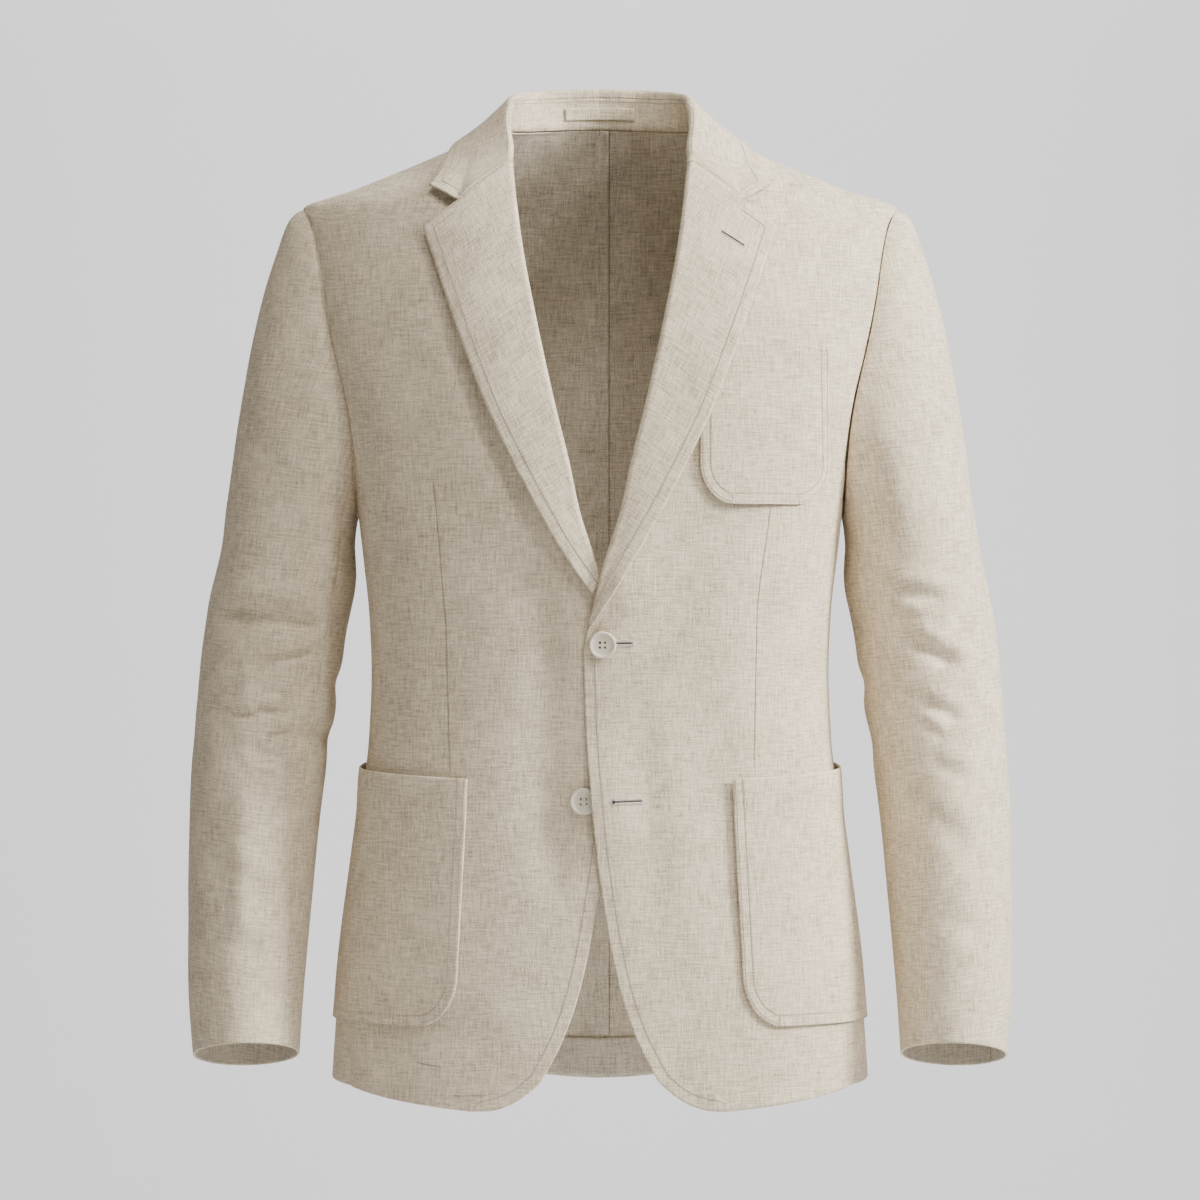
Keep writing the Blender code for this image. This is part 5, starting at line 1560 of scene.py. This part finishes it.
height = np.linspace(HEM + TURNUP + 0.004, BACK_NECK - 0.0005, 240)[:, None]
x = np.linspace(*ALLOWANCE_EDGES, 9)[None, :]
angles = math.pi - np.arctan2(x, back_depth_at(height))
height = np.broadcast_to(height, angles.shape)
full = 1 - ease(np.linspace(0, 1, 9)[None, :] / 0.8)
clear = (CLOTH + ALLOWANCE_CLEAR * mix(0.35, 1.0, full))[..., None]
grid = body_point(angles, height) - body_normal(angles, height) * clear
strip_piece("allowance", "back_allowance", grid, STRIP * mix(0.15, 1.0, full))

rows = []
for share in np.linspace(*HANGER_EDGES, 9):
    line = []
    for x in np.linspace(-HANGER_HALF_LENGTH, HANGER_HALF_LENGTH, 41):
        row = collar_row(180 - math.degrees(math.atan2(abs(x), STAND_RADIUS)))
        inward = unit(np.array([-row[0][0], -row[0][1], 0.0]))
        inward = inward * (FOLDED_CLOTH / 2 + HANGER_CLEAR + HANGER_WALL)
        point = mix(row[0], row[STAND_COLUMNS], share) + inward
        line.append([math.copysign(point[0], x), point[1], point[2]])
    rows.append(line)
strip_piece("hanger_strip", "hanger_loop", np.array(rows), HANGER_WALL)


# ----------------------------------------------------------------- buttons ----
def hole_places(out):
    """Across and up, to the four holes of a button."""
    turns = [math.pi / 4 + math.pi / 2 * i for i in range(4)]
    return [(out * math.cos(turn), out * math.sin(turn)) for turn in turns]


def button_piece(name, node_name, x, height, side):
    """Turned disc: rounded rim, dished middle and four holes."""
    face, normal = front_point(angle_at_x(x * side, height), height, side)
    turns = [2 * math.pi * i / DISC_SIDES for i in range(DISC_SIDES)]
    points = [(0, 0, 0)]
    for out, up_share in DISC_PROFILE:
        radius = BUTTON_RADIUS * out
        up = BUTTON_THICK * up_share
        points += [(radius * math.cos(turn), radius * math.sin(turn), up) for turn in turns]
    points.append((0, 0, BUTTON_THICK * BUTTON_DISH))
    faces = []
    for i in range(DISC_SIDES):
        after = (i + 1) % DISC_SIDES
        faces.append((0, 1 + after, 1 + i))
        for k in range(len(DISC_PROFILE) - 1):
            low = 1 + k * DISC_SIDES
            high = low + DISC_SIDES
            faces.append((low + i, low + after, high + after, high + i))
        faces.append((high + i, high + after, len(points) - 1))
    made = new_object(name, points, faces, horn)
    for x, y in hole_places(BUTTON_HOLE_OUT):
        bpy.ops.mesh.primitive_cylinder_add(
            vertices=24, radius=BUTTON_HOLE, depth=6 * BUTTON_THICK, location=(x, y, 0),
        )
        cutter = bpy.context.object
        cut = made.modifiers.new("hole", "BOOLEAN")
        cut.operation = "DIFFERENCE"
        cut.object = cutter
        bpy.context.view_layer.objects.active = made
        bpy.ops.object.modifier_apply(modifier="hole")
        bpy.data.objects.remove(cutter)
    face = face + normal * (3 * SEAM_GAP)
    made.location = Vector(face)
    made.rotation_mode = "QUATERNION"
    made.rotation_quaternion = Vector(normal).to_track_quat("Z", "Y")
    bpy.context.view_layer.update()
    made.data.transform(made.matrix_world)
    made.matrix_world.identity()
    made.data.shade_smooth()
    made.data.set_sharp_from_angle(angle=math.radians(40))
    keep(made, [node_name])
    return face, normal


top_place = button_piece("disc_top", "button_top", BUTTON_X[0], BUTTON_HEIGHTS[0], 1)
low_place = button_piece("disc_low", "button_low", BUTTON_X[1], BUTTON_HEIGHTS[1], -1)


# --------------------------------------------------------------- stitching ----
def tube(points, radius, sides=6):
    """Rings and faces of a short closed thread along a few points."""
    points = np.asarray(points, float)
    ahead = unit(np.gradient(points, axis=0))
    lead = np.array([0.31, 0.17, 0.94])
    across = unit(np.cross(ahead, lead))
    up = unit(np.cross(across, ahead))
    turn = np.linspace(0, 2 * math.pi, sides, endpoint=False)
    ring = across[:, None] * np.cos(turn)[None, :, None] + up[:, None] * np.sin(turn)[None, :, None]
    body = (points[:, None] + ring * radius).reshape(-1, 3)
    faces = []
    for k in range(len(points) - 1):
        for i in range(sides):
            a = k * sides + i
            b = k * sides + (i + 1) % sides
            faces.append((a, b, b + sides, a + sides))
    faces.append(tuple(range(sides))[::-1])
    last = (len(points) - 1) * sides
    faces.append(tuple(last + i for i in range(sides)))
    return body, faces


class Threads:
    """Collects threads into one mesh."""

    def __init__(self):
        self.points = []
        self.faces = []
        self.count = 0

    def add(self, points, radius=THREAD, sides=5):
        body, faces = tube(points, radius, sides)
        self.points.append(body)
        self.faces += [tuple(number + self.count for number in face) for face in faces]
        self.count += len(body)

    def piece(self, name, finish, slot="linen"):
        made = new_object(name, np.concatenate(self.points), self.faces, finish)
        return keep(made, [])


def tree_of(name):
    if name not in TREES:
        TREES[name] = faces_of(PIECES[name])
    return TREES[name]


def spaced(points, pitch):
    """Points a pitch apart along a line of points."""
    points = np.asarray(points, float)
    run = np.concatenate([[0], np.cumsum(np.linalg.norm(np.diff(points, axis=0), axis=1))])
    wanted = np.arange(0, run[-1], pitch)
    return np.stack([np.interp(wanted, run, points[:, k]) for k in range(3)], -1)


needle = Threads()


def sew(threads, piece, line, outward, pitch=STITCH_PITCH, length=STITCH, radius=THREAD):
    """Running stitches along a line on a piece's outer face."""
    tree = tree_of(piece)
    stops = spaced(line, pitch)
    rng = np.random.default_rng(len(stops))

    def on_cloth(point):
        """The nearest place on the piece, and its normal on this side."""
        place, normal, _, _ = tree.find_nearest(Vector(point))
        normal = np.array(normal)
        if normal.dot(outward) < 0:
            normal = -normal
        return np.array(place), normal

    for start, end in zip(stops[:-1], stops[1:]):
        way = unit(end - start)
        points = []
        size = length * (1 + 0.08 * rng.standard_normal())
        for share, height in STITCH_SHAPE:
            place, normal = on_cloth(start + way * size * share + outward * 0.0002)
            points.append(place + normal * radius * height)
        threads.add(points, radius)
        place, normal = on_cloth(start - way * (pitch - length) / 2)
        # a dark dot painted as the shade in the needle hole before each stitch
        needle.add([place - normal * 0.0003, place + normal * 0.00010], NEEDLE_HOLE, 4)


FRONT = np.array([0.0, -1.0, 0.0])


def crossings(grid, field, first, last):
    """Where each row, from its far end in, passes the line of a seam."""
    found = []
    for row, far in zip(grid[first:last, ::-1], field[first:last, ::-1]):
        rises = np.nonzero((far[:-1] < 0) & (far[1:] >= 0))[0]
        if len(rises):
            k = rises[0]
            found.append(mix(row[k], row[k + 1], -far[k] / (far[k + 1] - far[k])))
    return np.array(found)


def rows_clear(grid, distance, column):
    """How many rows lie further than this from the grid's last row."""
    along = lengths(grid, 0)[:, column]
    return int(np.sum(along < along[-1] - distance))


def across_grid(grid):
    return np.swapaxes(grid, 0, 1)


def leaf_line(grid, field, notch):
    """Stitch line of a leaf whose last row is its top: up its edge, then in."""
    rows = rows_clear(grid, LEAF_STITCH, -8)
    columns = rows_clear(across_grid(grid), LEAF_STITCH, -1)
    edge = crossings(grid, field, 0, rows)
    top = crossings(across_grid(grid), across_grid(field), notch, columns)
    return np.concatenate([edge, top[::-1]])


def sew_pocket(name, side, outward):
    normals = outline(grid_normals(GRIDS[name]) * side)
    for distance in (POCKET_STITCH, POCKET_EDGE_STITCH):
        sew(seams, name, inset(outline(GRIDS[name]), normals, side * distance), outward)


seams = Threads()
for side, word in SIDES:
    line = inset(front_edge_line(side, FRONT_STITCH_END), FRONT, -side * EDGE_STITCH)
    sew(seams, "cloth_front_" + word, line, FRONT)
    name = "cloth_lapel_" + word
    sew(seams, name, leaf_line(GRIDS[name], LINES[name], NOTCH_COLUMN), FRONT)
    sew_pocket("cloth_pocket_" + word, side, unit(np.array([0.5 * side, -1.0, 0.0])))
sew_pocket("cloth_pocket_chest", 1, FRONT)

name = "cloth_collar"
leaf = STAND_COLUMNS + FOLD_FINE
half_rows = COLLAR_FINE_ROWS + 1
for mirror in (1, -1):
    fall = GRIDS[name][::-mirror, leaf:][-half_rows:]
    field = LINES[name][::-mirror, leaf:][-half_rows:]
    sew(seams, name, leaf_line(fall, field, 0), np.array([0.0, -0.3, 1.0]))
stand = GRIDS[name][12:-12, :leaf]
run = lengths(stand, 1)
line = np.array([
    [np.interp(STAND_STITCH, far, row[:, k]) for k in range(3)]
    for row, far in zip(stand, run)
])
sew(seams, name, line, FRONT)
seams.piece("seam_threads", thread)


# --------------------------------------------------------------- buttonholes ----
def seen_place(name, x, z):
    """The face of a piece straight behind a place in the front view."""
    place, normal, _, _ = tree_of(name).ray_cast(Vector((x, -1, z)), Vector((0, 1, 0)))
    return np.array(place), np.array(normal)


def over_cloth(name, x, z, height):
    place, normal = seen_place(name, x, z)
    return place + normal * height


def whip(name, inner, outer):
    """One thread over the edge of a buttonhole."""
    points = []
    for share, height in WHIP_SHAPE:
        x, z = mix(inner, outer, share)
        points.append(over_cloth(name, x, z, height))
    whips.add(points, WHIP_THREAD)


def buttonhole(name, start, end, half, eyelet=0.0, bar=False):
    """A worked hole: a dark strip painted as the shade in its slit, whipped edges, round or barred
    ends.
    """
    start, end = np.array(start), np.array(end)
    along = unit(end - start)
    side = np.array([-along[1], along[0]])
    size = np.linalg.norm(end - start)

    def way_at(turn):
        return along * math.cos(turn) + side * math.sin(turn)

    slit = [
        over_cloth(name, *mix(start, end, share), SLIT_RISE) for share in np.linspace(0, 1, 14)
    ]
    # near-black strip painted as the shade in the open slit
    slits.add(slit, SLIT_HALF, 6)
    cord = [place - np.array([0, 0, 0.0009]) for place in slit]
    whips.add(cord, WHIP_THREAD * 1.2)
    rng = np.random.default_rng(int(size * 1e6))
    for run in np.arange(0, size, WHIP_PITCH):
        for way in (1, -1):
            inner = start + along * run + side * (way * WHIP_START)
            reach = half * (1 + 0.12 * rng.standard_normal())
            whip(name, inner, inner + side * (way * (reach - WHIP_START)) + along * 0.0002)
    if bar:
        for step in range(4):
            place = end + along * (0.0004 + 0.0003 * step)
            whip(name, place - side * half * 0.8, place + side * half * 0.8)
    else:
        for turn in np.linspace(-1.2, 1.2, 6):
            whip(name, end + way_at(turn) * WHIP_START, end + way_at(turn) * half)
    if eyelet:
        # painted shade in the eyelet's round hole
        ring = [
            start + eyelet * np.array([math.cos(t), math.sin(t)]) * 0.6
            for t in np.linspace(0, 2 * math.pi, 13)
        ]
        slits.add([over_cloth(name, x, z, SLIT_RISE) for x, z in ring], eyelet * 0.55, 6)
        for turn in np.linspace(0.6, 2 * math.pi - 0.6, 12):
            way = way_at(turn)
            whip(name, start + way * eyelet * 1.1, start + way * (eyelet + half * 0.7))


whips = Threads()
slits = Threads()
buttonhole("cloth_front_left", *TOP_HOLE, HOLE_HALF)
buttonhole("cloth_front_left", *LOW_HOLE, HOLE_HALF, eyelet=0.0013, bar=True)
buttonhole("cloth_lapel_left", *LAPEL_HOLE, LAPEL_HOLE_HALF)
whips.piece("buttonhole_threads", pale_thread)
slits.piece("buttonhole_slits", slit_shade)


# -------------------------------------------------------------- small stitches ----
marks = Threads()
for name, start, end in TACKS:
    ends = (seen_place(name, *start)[0], seen_place(name, *end)[0])
    sew(marks, name, [mix(ends[0], ends[1], t) for t in np.linspace(0, 1, 12)], FRONT)

sew(marks, "cloth_allowance", GRIDS["cloth_allowance"][:, 1], FRONT)
sew(marks, "cloth_turnup", GRIDS["cloth_turnup"][-2, 40:-40], FRONT)
marks.piece("tack_threads", dark_thread)

holds = Threads()
posts = Threads()
for (face, normal), bars in ((top_place, False), (low_place, True)):
    up = Vector(normal).to_track_quat("Z", "Y")
    ends = []
    for x, y in hole_places(BUTTON_HOLE_OUT * 0.9):
        place = face + np.array(up @ Vector((x, y, 0.0)))
        top = place + normal * (BUTTON_THICK * BUTTON_DISH * 0.72)
        # The thread in each hole is dark: painted shade in the hole.
        posts.add([place, mix(place, top, 0.5), top], BUTTON_HOLE * 0.62, 8)
        ends.append(place + normal * (BUTTON_THICK * BUTTON_DISH))
    if bars:
        for first, second in ((0, 1), (3, 2)):
            middle = mix(ends[first], ends[second], 0.5) + normal * 0.0006
            for shift in (-0.00025, 0.00025):
                off = unit(ends[3] - ends[0]) * shift
                holds.add([ends[first] + off, middle + off, ends[second] + off], 0.0003, 6)
holds.piece("button_threads", pale_thread, "button")
posts.piece("button_shanks", dark_thread, "button")
needle.piece("needle_holes", needle_hole_shade)


# ------------------------------------------------------------------- stage ----
def stage_material(name, colour):
    made, _, shader = new_material(name)
    shader.inputs["Base Color"].default_value = (*colour, 1)
    shader.inputs["Roughness"].default_value = 0.9
    shader.inputs["Specular IOR Level"].default_value = 0.1
    return made


FLOOR = -1.35
FLOOR_START = -9.0
WALL_HALF = 1.5
WALL_START = 3.4          # where the floor turns up into the wall, and how
WALL_RADIUS = 2.0
WALL_TOP = 7.0
profile = [(FLOOR_START, FLOOR), (WALL_START, FLOOR)]
profile += [
    (WALL_START + WALL_RADIUS * math.sin(bend), FLOOR + WALL_RADIUS * (1 - math.cos(bend)))
    for bend in np.linspace(0.1, math.pi / 2, 16)
]
profile.append((WALL_START + WALL_RADIUS, WALL_TOP))
points = [(x, y, z) for y, z in profile for x in (-WALL_HALF, WALL_HALF)]
faces = [(2 * i, 2 * i + 1, 2 * i + 3, 2 * i + 2) for i in range(len(profile) - 1)]
floor = new_object("floor", points, faces, stage_material("pale_floor", (0.86, 0.86, 0.87)))


def aimed(light, place, target):
    """Puts a light in the scene, towards a target."""
    made = bpy.data.objects.new(light.name, light)
    made.location = place
    made.rotation_euler = (Vector(target) - Vector(place)).to_track_quat("-Z", "Y").to_euler()
    bpy.context.scene.collection.objects.link(made)


def area_light(name, place, target, size, power, colour):
    light = bpy.data.lights.new(name, "AREA")
    light.shape = "RECTANGLE"
    light.size, light.size_y = size
    light.energy = power
    light.color = colour
    aimed(light, place, target)


MIDDLE = (0, 0, -0.38)
area_light("key", (2.75, -0.85, 1.2), MIDDLE, (0.8, 1.0), 240, (1.0, 0.99, 0.975))
area_light("top", (0.2, -1.1, 2.4), MIDDLE, (1.4, 1.0), 53, (1.0, 0.97, 0.93))
area_light("fill", (-2.8, -1.0, 0.5), MIDDLE, (1.6, 2.0), 12, (1.0, 0.95, 0.88))
area_light("front", (1.9, -2.2, 1.5), MIDDLE, (0.4, 0.4), 36, (1.0, 0.97, 0.93))
area_light("back", (0.0, 2.4, 2.9), (0, 4.8, 0.4), (3.0, 1.5), 196, (1, 1, 1))

spot = bpy.data.lights.new("lit_side", "SPOT")
spot.energy = 120
spot.shadow_soft_size = 0.3
spot.spot_size = 0.23
spot.spot_blend = 1.0
aimed(spot, (0.9, -3.4, 0.5), (0.33, -0.1, -0.42))

world = bpy.data.worlds.new("studio")
world.use_nodes = True
tree = world.node_tree
dim = tree.nodes["Background"]
dim.inputs[0].default_value = (1.0, 0.965, 0.92, 1)
dim.inputs[1].default_value = 0.075
seen = tree.nodes.new("ShaderNodeBackground")
seen.inputs[0].default_value = (0.66, 0.66, 0.665, 1)
either = tree.nodes.new("ShaderNodeMixShader")
rays = tree.nodes.new("ShaderNodeLightPath")
tree.links.new(rays.outputs["Is Camera Ray"], either.inputs[0])
tree.links.new(dim.outputs[0], either.inputs[1])
tree.links.new(seen.outputs[0], either.inputs[2])
tree.links.new(either.outputs[0], tree.nodes["World Output"].inputs[0])
bpy.context.scene.world = world

camera = bpy.data.cameras.new("camera")
camera.lens = 144.0
camera.sensor_width = 36.0
camera.clip_end = 60.0
shot = bpy.data.objects.new("camera", camera)
shot.location = (0.0, -3.7, -0.365)
shot.rotation_euler = (math.radians(90), 0, 0)
bpy.context.scene.collection.objects.link(shot)
bpy.context.scene.camera = shot
